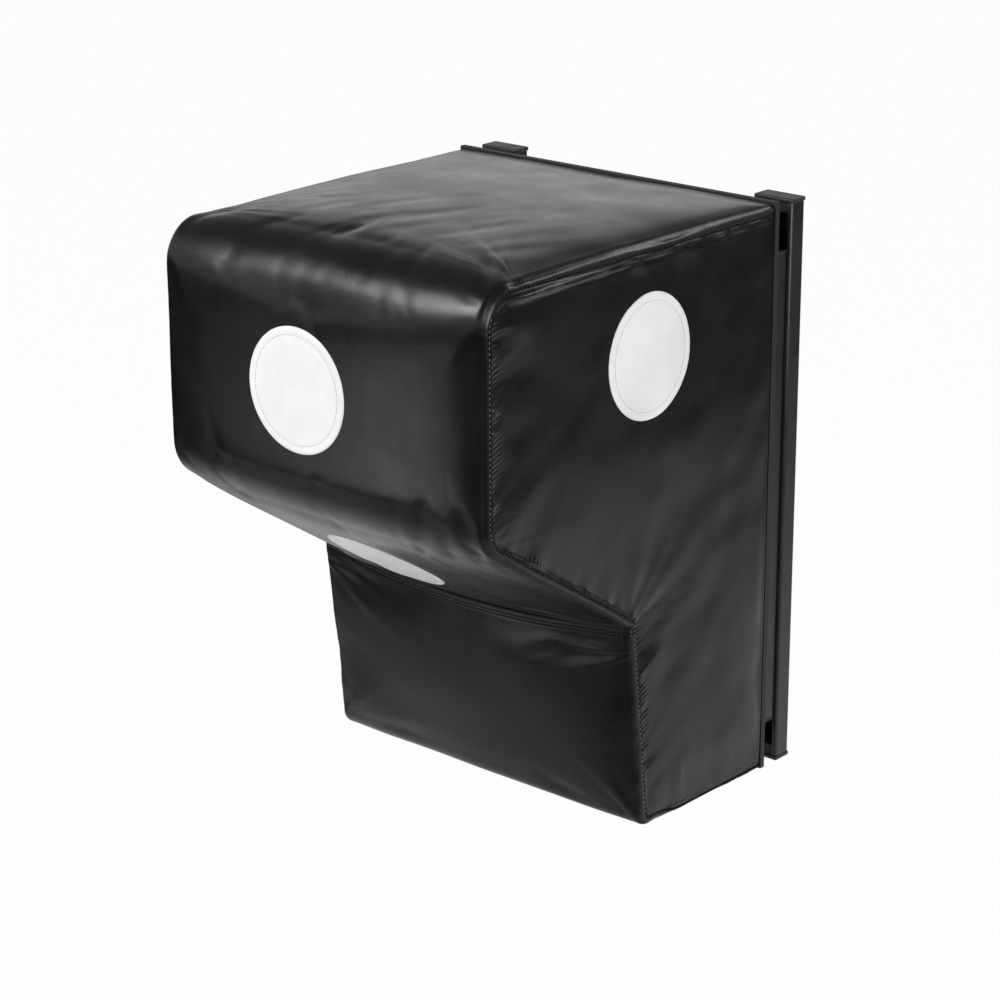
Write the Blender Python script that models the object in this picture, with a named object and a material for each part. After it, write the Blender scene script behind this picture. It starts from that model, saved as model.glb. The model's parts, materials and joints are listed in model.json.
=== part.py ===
"""Wall punching pad: an overhanging block in sewn vinyl, carried by two runners that slide on wall rails.

Metres, +Z up. The wall is the plane Y = 0 and the pad faces -Y. The origin lies on the wall plane,
midway between the rails, level with their lower ends. X is positive to the right, seen from the front.
"""

import math

import bmesh
import bpy
from mathutils import Matrix, Vector

# The pad seen from the side
PAD_WIDTH = 0.500
PAD_HEIGHT = 0.726
PAD_DEPTH = 0.530  # from the back board's rear face to the striking face
STRIKE_HEIGHT = 0.296  # of the upper, striking face
OVERHANG = 0.254  # of the striking face over the crease
UNDERSIDE_DROP = 0.163  # from the striking face's lower edge down to the crease
LOWER_LEAN = 0.027  # how far the lower face leans back from crease to bottom edge
CORNER_RADIUS = 0.050  # of the two rounded corners of the striking face
CORNER_STEPS = 6

# Stuffed form
CROWN = 0.010  # how far a face swells between its side seams
CROWN_FLATNESS = 4  # power of the swelling's fall towards the seams
CREASE_CROWN = 0.023  # how far the panels hang forward over the crease
CREASE_FLATNESS = 2
CROWN_STEPS = 7  # stations from the middle to a side seam
REAR_HOLD = 0.240  # depth over which the board draws the swelling in
HOLD_STEPS = 4
FOOT_SHARE = 0.25  # what is left of the swelling at the bottom seam
SIDE_SWELL = ((0.003, 0.0), (0.008, 0.0024), (0.013, 0.0016), (0.018, 0.0010))  # inset, rise

# Layers
CLEARANCE = 0.0003  # between pieces that touch
SKIN = 0.001
FACING = 0.025
SOFT_CLEARANCE = 0.0005  # between a panel and the foam under it
BACK_BOARD = 0.008
BACK_BOARD_LIP = 0.002  # how far the back board stands proud of the vinyl, above and below
CORE_BOARD = 0.012
DISC_RADIUS = 0.075
DISC_SEGMENTS = 40
BAND_DISC_OFF_CENTRE = -0.018  # of both discs on the band
FRONT_DISC_DROP = 0.158  # below the pad's top
SIDE_DISC_BACK = 0.281  # behind the striking face
SIDE_DISC_DROP = 0.133  # below the pad's top
UNDERSIDE_DISC_REACH = 0.162  # along the underside from the striking face's lower corner

# Wall rails, lipped channels that open towards the pad
RAIL_SHORTFALL = 0.007  # how much shorter than the pad a rail is
RAIL_INSET = 0.004  # from the pad's side to a rail's outer side
RAIL_WIDTH = 0.055
RAIL_DEPTH = 0.027
RAIL_WALL = 0.0025
RAIL_SLOT = 0.042
RAIL_BEND = 0.004
WALL_HOLE_RADIUS = 0.0043
WALL_HOLE_INSET = 0.085
CAP_HEAD = 0.005
CAP_OVERHANG = 0.001
CAP_BODY = 0.014
CAP_EDGE = 0.0018

# Runners, rectangular tubes between the rails and the back board
RUNNER_FOOT = 0.056  # from a rail's lower end to its runner's
RUNNER_HEADROOM = 0.061  # from a runner's upper end to its rail's
RUNNER_WIDTH = 0.046
RUNNER_DEPTH = 0.030
RUNNER_WALL = 0.002
RUNNER_BEND = 0.003
PLUG_HEAD = 0.004
PLUG_BODY = 0.014
PLUG_EDGE = 0.0012
BEND_STEPS = 3

# Slide shoes inside the rails, and the fasteners
SHOE_LENGTH = 0.060
SHOE_FLANGE = 0.006
SHOE_PLAY = 0.0005
SHOE_INSET = 0.080  # from a runner's end to the middle of its shoe
BOLT_RADIUS = 0.004
BOLT_HEAD_RADIUS = 0.0068
BOLT_HEAD = 0.0055
BOLT_CLEARANCE = 0.0005
TEE_NUT_RADIUS = 0.010
TEE_NUT_FLANGE = 0.0015
TEE_NUT_BARREL = 0.009
TEE_NUT_WALL = 0.0010
SCREW_RADIUS = 0.002
SCREW_HEAD_RADIUS = 0.0042
SCREW_HEAD = 0.0024
SCREW_LENGTH = 0.016
SCREW_ACROSS = 0.130
SCREW_END_INSET = 0.045
TURNING_STEPS = 16

# Places that follow from the sizes
RUNNER_BACK_Y = -(RAIL_DEPTH + CLEARANCE)
RUNNER_FRONT_Y = RUNNER_BACK_Y - RUNNER_DEPTH
BACK_Y = RUNNER_FRONT_Y - CLEARANCE
PAD_REAR_Y = BACK_Y - BACK_BOARD - CLEARANCE
FRONT_Y = BACK_Y - PAD_DEPTH
CORE_BOARD_FRONT_Y = PAD_REAR_Y - CORE_BOARD
FOAM_REAR_Y = CORE_BOARD_FRONT_Y - CLEARANCE
SKIN_SEAT = SKIN + SOFT_CLEARANCE
CORE_INSET = SKIN_SEAT + FACING + CLEARANCE
CREASE_Z = PAD_HEIGHT - STRIKE_HEIGHT - UNDERSIDE_DROP
CREASE_Y = FRONT_Y + OVERHANG
UNDERSIDE_SLOPE = math.atan2(UNDERSIDE_DROP, OVERHANG)
UNDERSIDE_START = CORNER_RADIUS * math.tan((math.pi / 2 - UNDERSIDE_SLOPE) / 2)
UNDERSIDE_START_Y = FRONT_Y + UNDERSIDE_START * math.cos(UNDERSIDE_SLOPE)
SIDE_RISE = sum(rise for _, rise in SIDE_SWELL)
SIDE_SEAM_X = PAD_WIDTH / 2 - SIDE_RISE
BAND_END_X = SIDE_SEAM_X - SKIN_SEAT
CORE_END_X = BAND_END_X - FACING - CLEARANCE
RAIL_X = PAD_WIDTH / 2 - RAIL_INSET - RAIL_WIDTH / 2
RAIL_LENGTH = PAD_HEIGHT - RAIL_SHORTFALL
RUNNER_LENGTH = RAIL_LENGTH - RUNNER_FOOT - RUNNER_HEADROOM
SHOE_FRONT_Y = -(RAIL_DEPTH - RAIL_WALL) + CLEARANCE
SHOE_REAR_Y = SHOE_FRONT_Y + SHOE_FLANGE
BOLT_HOLE = BOLT_RADIUS + BOLT_CLEARANCE
SCREW_HOLE = SCREW_RADIUS + CLEARANCE
TEE_NUT_BARREL_RADIUS = BOLT_RADIUS + CLEARANCE + TEE_NUT_WALL
SHOE_HEIGHTS = {
    "lower": RUNNER_FOOT + SHOE_INSET,
    "upper": RUNNER_FOOT + RUNNER_LENGTH - SHOE_INSET,
}
SIDES = {"left": -1, "right": 1}

# Sides of the outline, in the order of its corners
TOP, STRIKE, UNDERSIDE, LOWER, BOTTOM, REAR = range(6)

# Finish: base colour, roughness, metallic
FINISHES = {
    "black_vinyl": ((0.016, 0.016, 0.017, 1), 0.36, 0.0),
    "white_vinyl": ((0.80, 0.80, 0.79, 1), 0.42, 0.0),
    "facing_foam": ((0.32, 0.33, 0.35, 1), 0.95, 0.0),
    "core_foam": ((0.24, 0.27, 0.33, 1), 0.95, 0.0),
    "black_board": ((0.022, 0.022, 0.022, 1), 0.55, 0.0),
    "plywood": ((0.52, 0.36, 0.20, 1), 0.70, 0.0),
    "black_paint": ((0.018, 0.018, 0.019, 1), 0.30, 0.0),
    "black_plastic": ((0.025, 0.025, 0.026, 1), 0.45, 0.0),
    "natural_nylon": ((0.62, 0.60, 0.54, 1), 0.50, 0.0),
    "zinc_steel": ((0.55, 0.56, 0.57, 1), 0.35, 1.0),
}


def clear_scene():
    """Removes what the new scene starts with."""
    for obj in list(bpy.data.objects):
        bpy.data.objects.remove(obj)


def finish(name):
    """The material of this name, made once."""
    if name in bpy.data.materials:
        return bpy.data.materials[name]
    colour, roughness, metallic = FINISHES[name]
    material = bpy.data.materials.new(name)
    material.use_nodes = True
    material.diffuse_color = colour
    shader = material.node_tree.nodes["Principled BSDF"]
    shader.inputs["Base Color"].default_value = colour
    shader.inputs["Roughness"].default_value = roughness
    shader.inputs["Metallic"].default_value = metallic
    return material


def new_object(name, bm, material, parent, location=(0, 0, 0)):
    """An object from a bmesh, with outward faces, its finish and its place."""
    bmesh.ops.recalc_face_normals(bm, faces=bm.faces)
    mesh = bpy.data.meshes.new(name)
    bm.to_mesh(mesh)
    bm.free()
    mesh.materials.append(finish(material))
    obj = bpy.data.objects.new(name, mesh)
    bpy.context.scene.collection.objects.link(obj)
    obj.location = location
    obj.parent = parent
    return obj


def new_empty(name):
    """A pivot for the pieces that move together."""
    empty = bpy.data.objects.new(name, None)
    empty.empty_display_size = 0.05
    bpy.context.scene.collection.objects.link(empty)
    return empty


def smooth(obj, angle=35):
    """Round surfaces shaded smooth, with creases past the angle kept sharp."""
    obj.data.shade_smooth()
    obj.data.set_sharp_from_angle(angle=math.radians(angle))


def cut(obj, cutter):
    """Cuts a hidden helper's shape out of an object."""
    cutter.hide_render = True
    cutter.display_type = "WIRE"
    modifier = obj.modifiers.new("Cut " + cutter.name, "BOOLEAN")
    modifier.operation = "DIFFERENCE"
    modifier.object = cutter


def drill(obj, name, points, radius, depth):
    """Holes along Y at the points given in the object's own space, each centred on its point."""
    bm = bmesh.new()
    for point in points:
        place = Matrix.Translation(point) @ Matrix.Rotation(math.pi / 2, 4, "X")
        bmesh.ops.create_cone(
            bm,
            cap_ends=True,
            segments=TURNING_STEPS,
            radius1=radius,
            radius2=radius,
            depth=depth,
            matrix=place,
        )
    cut(obj, new_object(name, bm, "zinc_steel", obj.parent, obj.location))


def pad_corners():
    """Corners of the pad from the side as (y, z), from the rear top round the front to the rear bottom."""
    return [
        Vector((PAD_REAR_Y, PAD_HEIGHT)),
        Vector((FRONT_Y, PAD_HEIGHT)),
        Vector((FRONT_Y, PAD_HEIGHT - STRIKE_HEIGHT)),
        Vector((CREASE_Y, CREASE_Z)),
        Vector((CREASE_Y + LOWER_LEAN, 0)),
        Vector((PAD_REAR_Y, 0)),
    ]


def inset_corners(corners, distances):
    """Moves each side of a closed outline inwards by its own distance, and meets them in new corners."""
    lines = []
    for index, start in enumerate(corners):
        along = (corners[(index + 1) % len(corners)] - start).normalized()
        inward = Vector((-along.y, along.x))
        lines.append((start + inward * distances[index], along))
    moved = []
    for index, (second, leaving) in enumerate(lines):
        first, coming = lines[index - 1]
        travel = (second - first).cross(leaving) / coming.cross(leaving)
        moved.append(first + coming * travel)
    return moved


def fillet(before, corner, after, radius, steps):
    """Points of the arc that rounds a corner, or the corner itself where it is sharp."""
    if radius <= 0:
        return [corner]
    coming = (corner - before).normalized()
    leaving = (after - corner).normalized()
    turn = math.atan2(coming.cross(leaving), coming.dot(leaving))
    start = corner - coming * radius * math.tan(abs(turn) / 2)
    centre = start + Vector((-coming.y, coming.x)) * math.copysign(radius, turn)
    return [
        centre + Matrix.Rotation(turn * step / steps, 2) @ (start - centre)
        for step in range(steps + 1)
    ]


def outline(distances):
    """The pad from the side, inset by a distance per side, as points and the index of each corner's last point."""
    corners = inset_corners(pad_corners(), distances)
    rounding = [0, CORNER_RADIUS - distances[TOP], CORNER_RADIUS - distances[STRIKE], 0, 0, 0]
    points = []
    ends = []
    for index, corner in enumerate(corners):
        after = corners[(index + 1) % len(corners)]
        points += fillet(corners[index - 1], corner, after, rounding[index], CORNER_STEPS)
        ends.append(len(points) - 1)
        if index in (TOP, BOTTOM):
            points += crossings(points[-1], after, 0, rear_stations())
        if index == UNDERSIDE:
            points += crossings(points[-1], after, 0, underside_stations())
        if index == LOWER:
            points += crossings(points[-1], after, 1, foot_stations())
    return points, ends


def rear_stations():
    """Depths at which the top and the bottom bend as the board draws them in."""
    return [PAD_REAR_Y - REAR_HOLD * step / HOLD_STEPS for step in range(1, HOLD_STEPS + 1)]


def underside_stations():
    """Depths at which the underside bends as it hangs."""
    run = CREASE_Y - UNDERSIDE_START_Y
    steps = range(1, HOLD_STEPS + 1)
    return [UNDERSIDE_START_Y + run * step / (HOLD_STEPS + 1) for step in steps]


def foot_stations():
    """Heights at which the lower face bends between the bottom seam and the crease."""
    return [CREASE_Z * step / (HOLD_STEPS + 1) for step in range(1, HOLD_STEPS + 1)]


def crossings(start, end, axis, stations):
    """Points of a straight run where it crosses the stations, in the run's own order."""
    shares = sorted((station - start[axis]) / (end[axis] - start[axis]) for station in stations)
    margin = 0.02
    return [start.lerp(end, share) for share in shares if margin < share < 1 - margin]


def ease(share):
    """A soft step from 0 to 1."""
    share = min(max(share, 0.0), 1.0)
    return share * share * (3 - 2 * share)


def band_stations(end_x):
    """Places across the pad at which a face bends, out to a layer's end."""
    inner = [BAND_END_X * step / CROWN_STEPS for step in range(1 - CROWN_STEPS, CROWN_STEPS)]
    margin = 0.001
    return [-end_x] + [x for x in inner if abs(x) < end_x - margin] + [end_x]


def crown_across(x, flatness):
    """The share of a swelling at a place across the pad, straight between its stations."""
    place = min(abs(x) / BAND_END_X, 1.0) * CROWN_STEPS
    step = min(int(place), CROWN_STEPS - 1)
    low, high = (1 - ((step + k) / CROWN_STEPS) ** flatness for k in (0, 1))
    return low + (high - low) * (place - step)


def nearness_to_crease(point):
    """1 at the crease, falling to 0 at the striking face and at the bottom seam."""
    if point.y > PAD_HEIGHT - STRIKE_HEIGHT:
        return 0.0
    under = (point.x - UNDERSIDE_START_Y) / (CREASE_Y - UNDERSIDE_START_Y)
    return min(max(under, 0.0), 1.0) * ease(point.y / CREASE_Z)


def swelling(x, point):
    """How far the stuffed face stands out at a place across the pad and a point of the outline."""
    rear = ease((PAD_REAR_Y - point.x) / REAR_HOLD)
    foot = FOOT_SHARE + (1 - FOOT_SHARE) * ease(point.y / CREASE_Z)
    face = CROWN * crown_across(x, CROWN_FLATNESS) * rear * foot
    hanging = CREASE_CROWN * crown_across(x, CREASE_FLATNESS)
    return face + (hanging - face) * nearness_to_crease(point)


def outward_normals(points):
    """At each point of a closed outline, the way out, lengthened at corners so that both sides stay parallel."""
    normals = []
    for index, point in enumerate(points):
        coming = (point - points[index - 1]).normalized()
        leaving = (points[(index + 1) % len(points)] - point).normalized()
        first = Vector((coming.y, -coming.x))
        second = Vector((leaving.y, -leaving.x))
        normals.append((first + second) / (1 + first.dot(second)))
    return normals


def shortened(points, start, end):
    """An open path with its ends drawn back."""
    first = points[0] + (points[1] - points[0]).normalized() * start
    last = points[-1] + (points[-2] - points[-1]).normalized() * end
    return [first] + points[1:-1] + [last]


def path_between(distances, first, last, start, end):
    """The stretch of the outline between two corners, with the way out at each of its points."""
    points, ends = outline(distances)
    normals = outward_normals(points)
    stop = ends[last]
    return (
        shortened(points[ends[first] : stop + 1], start, end),
        normals[ends[first] : stop + 1],
    )


def layer(name, material, parent, outer, inner, end_x, inner_swells, first, last, trims):
    """A layer that follows the outline from one corner to another and reaches across the pad.

    outer and inner are the insets of its two surfaces, a distance per side of the outline.
    """
    outer_path = path_between(outer, first, last, *trims)
    inner_path = path_between(inner, first, last, *trims)
    bm = bmesh.new()
    rings = []
    for x in band_stations(end_x):
        ring = []
        for point, normal in zip(*outer_path):
            place = point + normal * swelling(x, point)
            ring.append(bm.verts.new((x, place.x, place.y)))
        for point, normal in reversed(list(zip(*inner_path))):
            place = point + normal * (swelling(x, point) if inner_swells else 0)
            ring.append(bm.verts.new((x, place.x, place.y)))
        rings.append(ring)
    loft(bm, rings, len(outer_path[0]))
    obj = new_object(name, bm, material, parent)
    smooth(obj)
    return obj


def loft(bm, rings, turn=0):
    """Closes a row of equal rings into one body.

    A ring runs out along one surface up to its point turn and back along the other. There the faces
    are split the other way, so that surfaces of neighbouring layers bend along the same lines.
    """
    for low, high in zip(rings, rings[1:]):
        for index in range(len(low)):
            a, b, c, d = low[index - 1], low[index], high[index], high[index - 1]
            if 0 < index < turn:
                bm.faces.new((a, b, c))
                bm.faces.new((a, c, d))
            elif turn < index:
                bm.faces.new((a, b, d))
                bm.faces.new((b, c, d))
            else:
                bm.faces.new((a, b, c, d))
    bm.faces.new(rings[0])
    bm.faces.new(rings[-1])


def insets(distance, rear=0.0, bottom=None):
    """The same inset on every side of the outline, but for the rear and perhaps the bottom."""
    distances = [distance] * 6
    distances[REAR] = rear
    if bottom is not None:
        distances[BOTTOM] = bottom
    return distances


def build_vinyl_band(parent):
    """The long panel over the top, down the striking face and under the overhang to the crease."""
    layer(
        "vinyl_band", "black_vinyl", parent, insets(0), insets(SKIN), BAND_END_X,
        True, TOP, LOWER, (0, CLEARANCE),
    )


def build_vinyl_lower(parent):
    """The panel of the lower face, from the crease to the bottom seam."""
    layer(
        "vinyl_lower_panel", "black_vinyl", parent, insets(0), insets(SKIN), BAND_END_X,
        True, LOWER, BOTTOM, (CLEARANCE, CLEARANCE),
    )


def build_vinyl_bottom(parent):
    """The bottom panel, from the bottom seam to the back board."""
    layer(
        "vinyl_bottom_panel", "black_vinyl", parent, insets(0), insets(SKIN), BAND_END_X,
        True, BOTTOM, REAR, (CLEARANCE, 0),
    )


def build_band_facing(parent):
    """The soft foam sheet bent round the upper block, under the band."""
    rear = FOAM_REAR_Y - PAD_REAR_Y
    layer(
        "band_facing_foam", "facing_foam", parent,
        insets(SKIN_SEAT, -rear), insets(SKIN_SEAT + FACING, -rear), CORE_END_X,
        False, TOP, LOWER, (0, CLEARANCE),
    )


def build_lower_facing(parent):
    """The soft foam sheet on the lower block's face."""
    layer(
        "lower_facing_foam", "facing_foam", parent,
        insets(SKIN_SEAT), insets(SKIN_SEAT + FACING, bottom=SKIN_SEAT), CORE_END_X,
        False, LOWER, BOTTOM, (CLEARANCE, 0),
    )


def side_polygon(bm, distances, x):
    """The pad's outline as one face across the X axis."""
    points = outline(distances)[0]
    return bm.faces.new([bm.verts.new((x, point.x, point.y)) for point in points])


def swell_side(bm, face):
    """Insets a side's face step by step and raises it, which draws its rim in towards the seam."""
    for inset, rise in SIDE_SWELL:
        bmesh.ops.inset_region(
            bm, faces=[face], thickness=inset, depth=rise, use_even_offset=True, use_boundary=True
        )


def build_vinyl_side(parent, side):
    """A side panel: its rim lies over the ends of the band, and its middle swells."""
    bm = bmesh.new()
    face = side_polygon(bm, insets(0), SIDE_SEAM_X)
    face.normal_update()
    if face.normal.x < 0:
        face.normal_flip()
    swell_side(bm, face)
    mirror_to(bm, side)
    obj = new_object("vinyl_side_" + side, bm, "black_vinyl", parent)
    if obj.data.polygons[0].normal.x * SIDES[side] < 0:
        obj.data.flip_normals()
    wall = obj.modifiers.new("Vinyl", "SOLIDIFY")
    wall.thickness = SKIN
    wall.offset = -1
    wall.use_even_offset = True
    smooth(obj)


def build_side_facing(parent, side):
    """The soft foam sheet under a side panel, flat on the core and swelling outwards."""
    rear = PAD_REAR_Y - FOAM_REAR_Y
    bm = bmesh.new()
    inner_x = BAND_END_X - FACING
    face = side_polygon(bm, insets(SKIN_SEAT, rear), inner_x)
    grown = bmesh.ops.extrude_face_region(bm, geom=[face])["geom"]
    rim = [vert for vert in grown if isinstance(vert, bmesh.types.BMVert)]
    bmesh.ops.translate(bm, verts=rim, vec=(BAND_END_X - inner_x, 0, 0))
    bmesh.ops.recalc_face_normals(bm, faces=bm.faces)
    outer = max(bm.faces, key=lambda candidate: candidate.calc_center_median().x)
    swell_side(bm, outer)
    mirror_to(bm, side)
    smooth(new_object("side_facing_foam_" + side, bm, "facing_foam", parent))


def mirror_to(bm, side):
    """Turns a right-hand shape into a left-hand one where the side asks for it."""
    if SIDES[side] < 0:
        bmesh.ops.scale(bm, vec=(-1, 1, 1), verts=bm.verts)
        bmesh.ops.reverse_faces(bm, faces=bm.faces)


def prism(name, material, parent, corners, end_x):
    """A block with the given side view, reaching across the pad."""
    bm = bmesh.new()
    rings = [[bm.verts.new((x, point.x, point.y)) for point in corners] for x in (-end_x, end_x)]
    loft(bm, rings)
    return new_object(name, bm, material, parent)


def build_cores(parent):
    """The firm foam inside: an upper block with the overhang, standing on a lower block."""
    rear = PAD_REAR_Y - FOAM_REAR_Y
    points, ends = outline(insets(CORE_INSET, rear, SKIN_SEAT))
    inner_crease = points[ends[LOWER]]
    upper = points[: ends[LOWER] + 1] + [Vector((FOAM_REAR_Y, inner_crease.y))]
    smooth(prism("upper_core_foam", "core_foam", parent, upper, CORE_END_X))
    joint_z = inner_crease.y - CLEARANCE
    lower = [
        Vector((inner_crease.x, joint_z)),
        points[ends[BOTTOM]],
        points[ends[REAR]],
        Vector((FOAM_REAR_Y, joint_z)),
    ]
    prism("lower_core_foam", "core_foam", parent, lower, CORE_END_X)


def box(bm, low, high):
    """A closed block between two corners."""
    low, high = Vector(low), Vector(high)
    size = high - low
    place = Matrix.Translation((low + high) / 2) @ Matrix.Diagonal((*size, 1))
    return bmesh.ops.create_cube(bm, size=1, matrix=place)["verts"]


def bolt_points():
    """Where the runner bolts cross the boards."""
    return [(SIDES[side] * RAIL_X, z) for side in SIDES for z in SHOE_HEIGHTS.values()]


def screw_points():
    """Where wood screws hold the back board to the core board."""
    heights = (SCREW_END_INSET, PAD_HEIGHT / 2, PAD_HEIGHT - SCREW_END_INSET)
    return [(sign * SCREW_ACROSS, z) for sign in (-1, 1) for z in heights]


def build_boards(parent):
    """The plywood board inside the cover, and the black back board that the runners lie on."""
    bm = bmesh.new()
    edge = BAND_END_X
    box(bm, (-edge, CORE_BOARD_FRONT_Y, SKIN_SEAT), (edge, PAD_REAR_Y, PAD_HEIGHT - SKIN_SEAT))
    core = new_object("core_board", bm, "plywood", parent)
    mid_y = (CORE_BOARD_FRONT_Y + PAD_REAR_Y) / 2
    through = 2 * CORE_BOARD
    barrel = TEE_NUT_BARREL_RADIUS + CLEARANCE
    drill(core, "barrel_holes", [(x, mid_y, z) for x, z in bolt_points()], barrel, through)
    sink = 2 * (TEE_NUT_FLANGE + CLEARANCE)
    flange = TEE_NUT_RADIUS + CLEARANCE
    faces = [(x, CORE_BOARD_FRONT_Y, z) for x, z in bolt_points()]
    drill(core, "flange_sinks", faces, flange, sink)
    drill(core, "core_screw_holes", [(x, mid_y, z) for x, z in screw_points()], SCREW_HOLE, through)

    bm = bmesh.new()
    front = BACK_Y - BACK_BOARD
    low = (-PAD_WIDTH / 2, front, -BACK_BOARD_LIP)
    box(bm, low, (PAD_WIDTH / 2, BACK_Y, PAD_HEIGHT + BACK_BOARD_LIP))
    back = new_object("back_board", bm, "black_board", parent)
    mid_y = BACK_Y - BACK_BOARD / 2
    through = 2 * BACK_BOARD
    drill(back, "bolt_holes", [(x, mid_y, z) for x, z in bolt_points()], BOLT_HOLE, through)
    drill(back, "screw_holes", [(x, mid_y, z) for x, z in screw_points()], SCREW_HOLE, through)


def folded_strip(points, closed, length):
    """Sheet metal bent along a path in the XY plane, standing along Z, with its outer side on the path."""
    bm = bmesh.new()
    verts = [bm.verts.new((point.x, point.y, 0)) for point in points]
    pairs = list(zip(verts, verts[1:]))
    if closed:
        pairs.append((verts[-1], verts[0]))
    edges = [bm.edges.new(pair) for pair in pairs]
    grown = bmesh.ops.extrude_edge_only(bm, edges=edges)["geom"]
    top = [vert for vert in grown if isinstance(vert, bmesh.types.BMVert)]
    bmesh.ops.translate(bm, verts=top, vec=(0, 0, length))
    return bm


def bent(corners, radius, closed):
    """A path with each of its bends rounded."""
    points = []
    last = len(corners) - 1
    for index, corner in enumerate(corners):
        sharp = not closed and index in (0, last)
        before, after = corners[index - 1], corners[(index + 1) % len(corners)]
        points += fillet(before, corner, after, 0 if sharp else radius, BEND_STEPS)
    return points


def thicken(obj, wall):
    """Gives a folded strip its wall, inwards from the path."""
    modifier = obj.modifiers.new("Wall", "SOLIDIFY")
    modifier.thickness = wall
    modifier.offset = -1
    modifier.use_even_offset = True


def build_rail(parent, side):
    """A wall rail: a lipped channel, closed at the wall and slotted towards the pad."""
    half = RAIL_WIDTH / 2
    slot = RAIL_SLOT / 2
    corners = [
        Vector((slot, -RAIL_DEPTH)),
        Vector((half, -RAIL_DEPTH)),
        Vector((half, 0)),
        Vector((-half, 0)),
        Vector((-half, -RAIL_DEPTH)),
        Vector((-slot, -RAIL_DEPTH)),
    ]
    bm = folded_strip(bent(corners, RAIL_BEND, False), False, RAIL_LENGTH)
    place = (SIDES[side] * RAIL_X, 0, 0)
    rail = new_object("wall_rail_" + side, bm, "black_paint", parent, place)
    outward_strip(rail)
    thicken(rail, RAIL_WALL)
    heights = (WALL_HOLE_INSET, RAIL_LENGTH - WALL_HOLE_INSET)
    holes = [(0, -RAIL_WALL / 2, z) for z in heights]
    drill(rail, "wall_holes_" + side, holes, WALL_HOLE_RADIUS, 4 * RAIL_WALL)
    smooth(rail)


def outward_strip(obj):
    """Turns a strip's faces away from its axis."""
    face = max(obj.data.polygons, key=lambda polygon: abs(polygon.center.x))
    if face.normal.x * face.center.x < 0:
        obj.data.flip_normals()


def build_runner(parent, side):
    """A runner: a rectangular tube that lies on its rail's lips and carries the back board."""
    half = RUNNER_WIDTH / 2
    corners = [
        Vector((-half, RUNNER_FRONT_Y)),
        Vector((half, RUNNER_FRONT_Y)),
        Vector((half, RUNNER_BACK_Y)),
        Vector((-half, RUNNER_BACK_Y)),
    ]
    bm = folded_strip(bent(corners, RUNNER_BEND, True), True, RUNNER_LENGTH)
    place = (SIDES[side] * RAIL_X, 0, RUNNER_FOOT)
    runner = new_object("runner_" + side, bm, "black_paint", parent, place)
    outward_strip(runner)
    thicken(runner, RUNNER_WALL)
    mid_y = (RUNNER_FRONT_Y + RUNNER_BACK_Y) / 2
    holes = [(0, mid_y, z - RUNNER_FOOT) for z in SHOE_HEIGHTS.values()]
    drill(runner, "runner_holes_" + side, holes, BOLT_HOLE, 2 * RUNNER_DEPTH)
    smooth(runner)


def extruded(bm, face):
    """Extrudes a face on the spot and returns the new one."""
    grown = bmesh.ops.extrude_face_region(bm, geom=[face])["geom"]
    bmesh.ops.delete(bm, geom=[face], context="FACES_ONLY")
    return next(item for item in grown if isinstance(item, bmesh.types.BMFace))


def end_piece(name, parent, place, head_corners, seat_corners, head, body, edge, bend, up):
    """A moulded plug: a head with softened edges, and a body that fits inside a bent section.

    head_corners and seat_corners are the low and high corners of the two in the XY plane.
    """
    bm = bmesh.new()
    low, high = head_corners
    box(bm, (*low, 0), (*high, head))
    soft = [side for side in bm.edges if max(vert.co.z for vert in side.verts) > head / 2]
    bmesh.ops.bevel(
        bm, geom=soft, offset=edge, segments=3, profile=0.5, affect="EDGES", material=-1
    )
    seat = extruded(bm, min(bm.faces, key=lambda face: face.calc_center_median().z))
    for vert in seat.verts:
        for axis in (0, 1):
            from_low, from_high = vert.co[axis] - low[axis], high[axis] - vert.co[axis]
            if from_low < from_high:
                vert.co[axis] = seat_corners[0][axis] + from_low * bend / edge
            else:
                vert.co[axis] = seat_corners[1][axis] - from_high * bend / edge
    tip = extruded(bm, seat)
    bmesh.ops.translate(bm, verts=tip.verts, vec=(0, 0, -body))
    if not up:
        bmesh.ops.scale(bm, vec=(1, 1, -1), verts=bm.verts)
    smooth(new_object(name, bm, "black_plastic", parent, place))


def build_rail_cap(parent, side, end):
    """A cap at a rail's end: its head laps over the sides and the lips, flush with the wall."""
    half = RAIL_WIDTH / 2 + CAP_OVERHANG
    inside = RAIL_WIDTH / 2 - RAIL_WALL - CLEARANCE
    depth = RAIL_DEPTH - RAIL_WALL - CLEARANCE
    up = end == "upper"
    z = RAIL_LENGTH + CLEARANCE if up else -CLEARANCE
    end_piece(
        "rail_cap_" + side + "_" + end, parent, (SIDES[side] * RAIL_X, 0, z),
        ((-half, -RAIL_DEPTH - CAP_OVERHANG), (half, 0)),
        ((-inside, -depth), (inside, -RAIL_WALL - CLEARANCE)),
        CAP_HEAD, CAP_BODY, CAP_EDGE, RAIL_BEND - RAIL_WALL, up,
    )


def build_runner_plug(parent, side, end):
    """A plug at a runner's end, its head flush with the tube."""
    half = RUNNER_WIDTH / 2
    inset = RUNNER_WALL + CLEARANCE
    up = end == "upper"
    z = RUNNER_FOOT + RUNNER_LENGTH + CLEARANCE if up else RUNNER_FOOT - CLEARANCE
    end_piece(
        "runner_plug_" + side + "_" + end, parent, (SIDES[side] * RAIL_X, 0, z),
        ((-half, RUNNER_FRONT_Y), (half, RUNNER_BACK_Y)),
        ((-half + inset, RUNNER_FRONT_Y + inset), (half - inset, RUNNER_BACK_Y - inset)),
        PLUG_HEAD, PLUG_BODY, PLUG_EDGE, RUNNER_BEND - RUNNER_WALL, up,
    )


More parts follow.
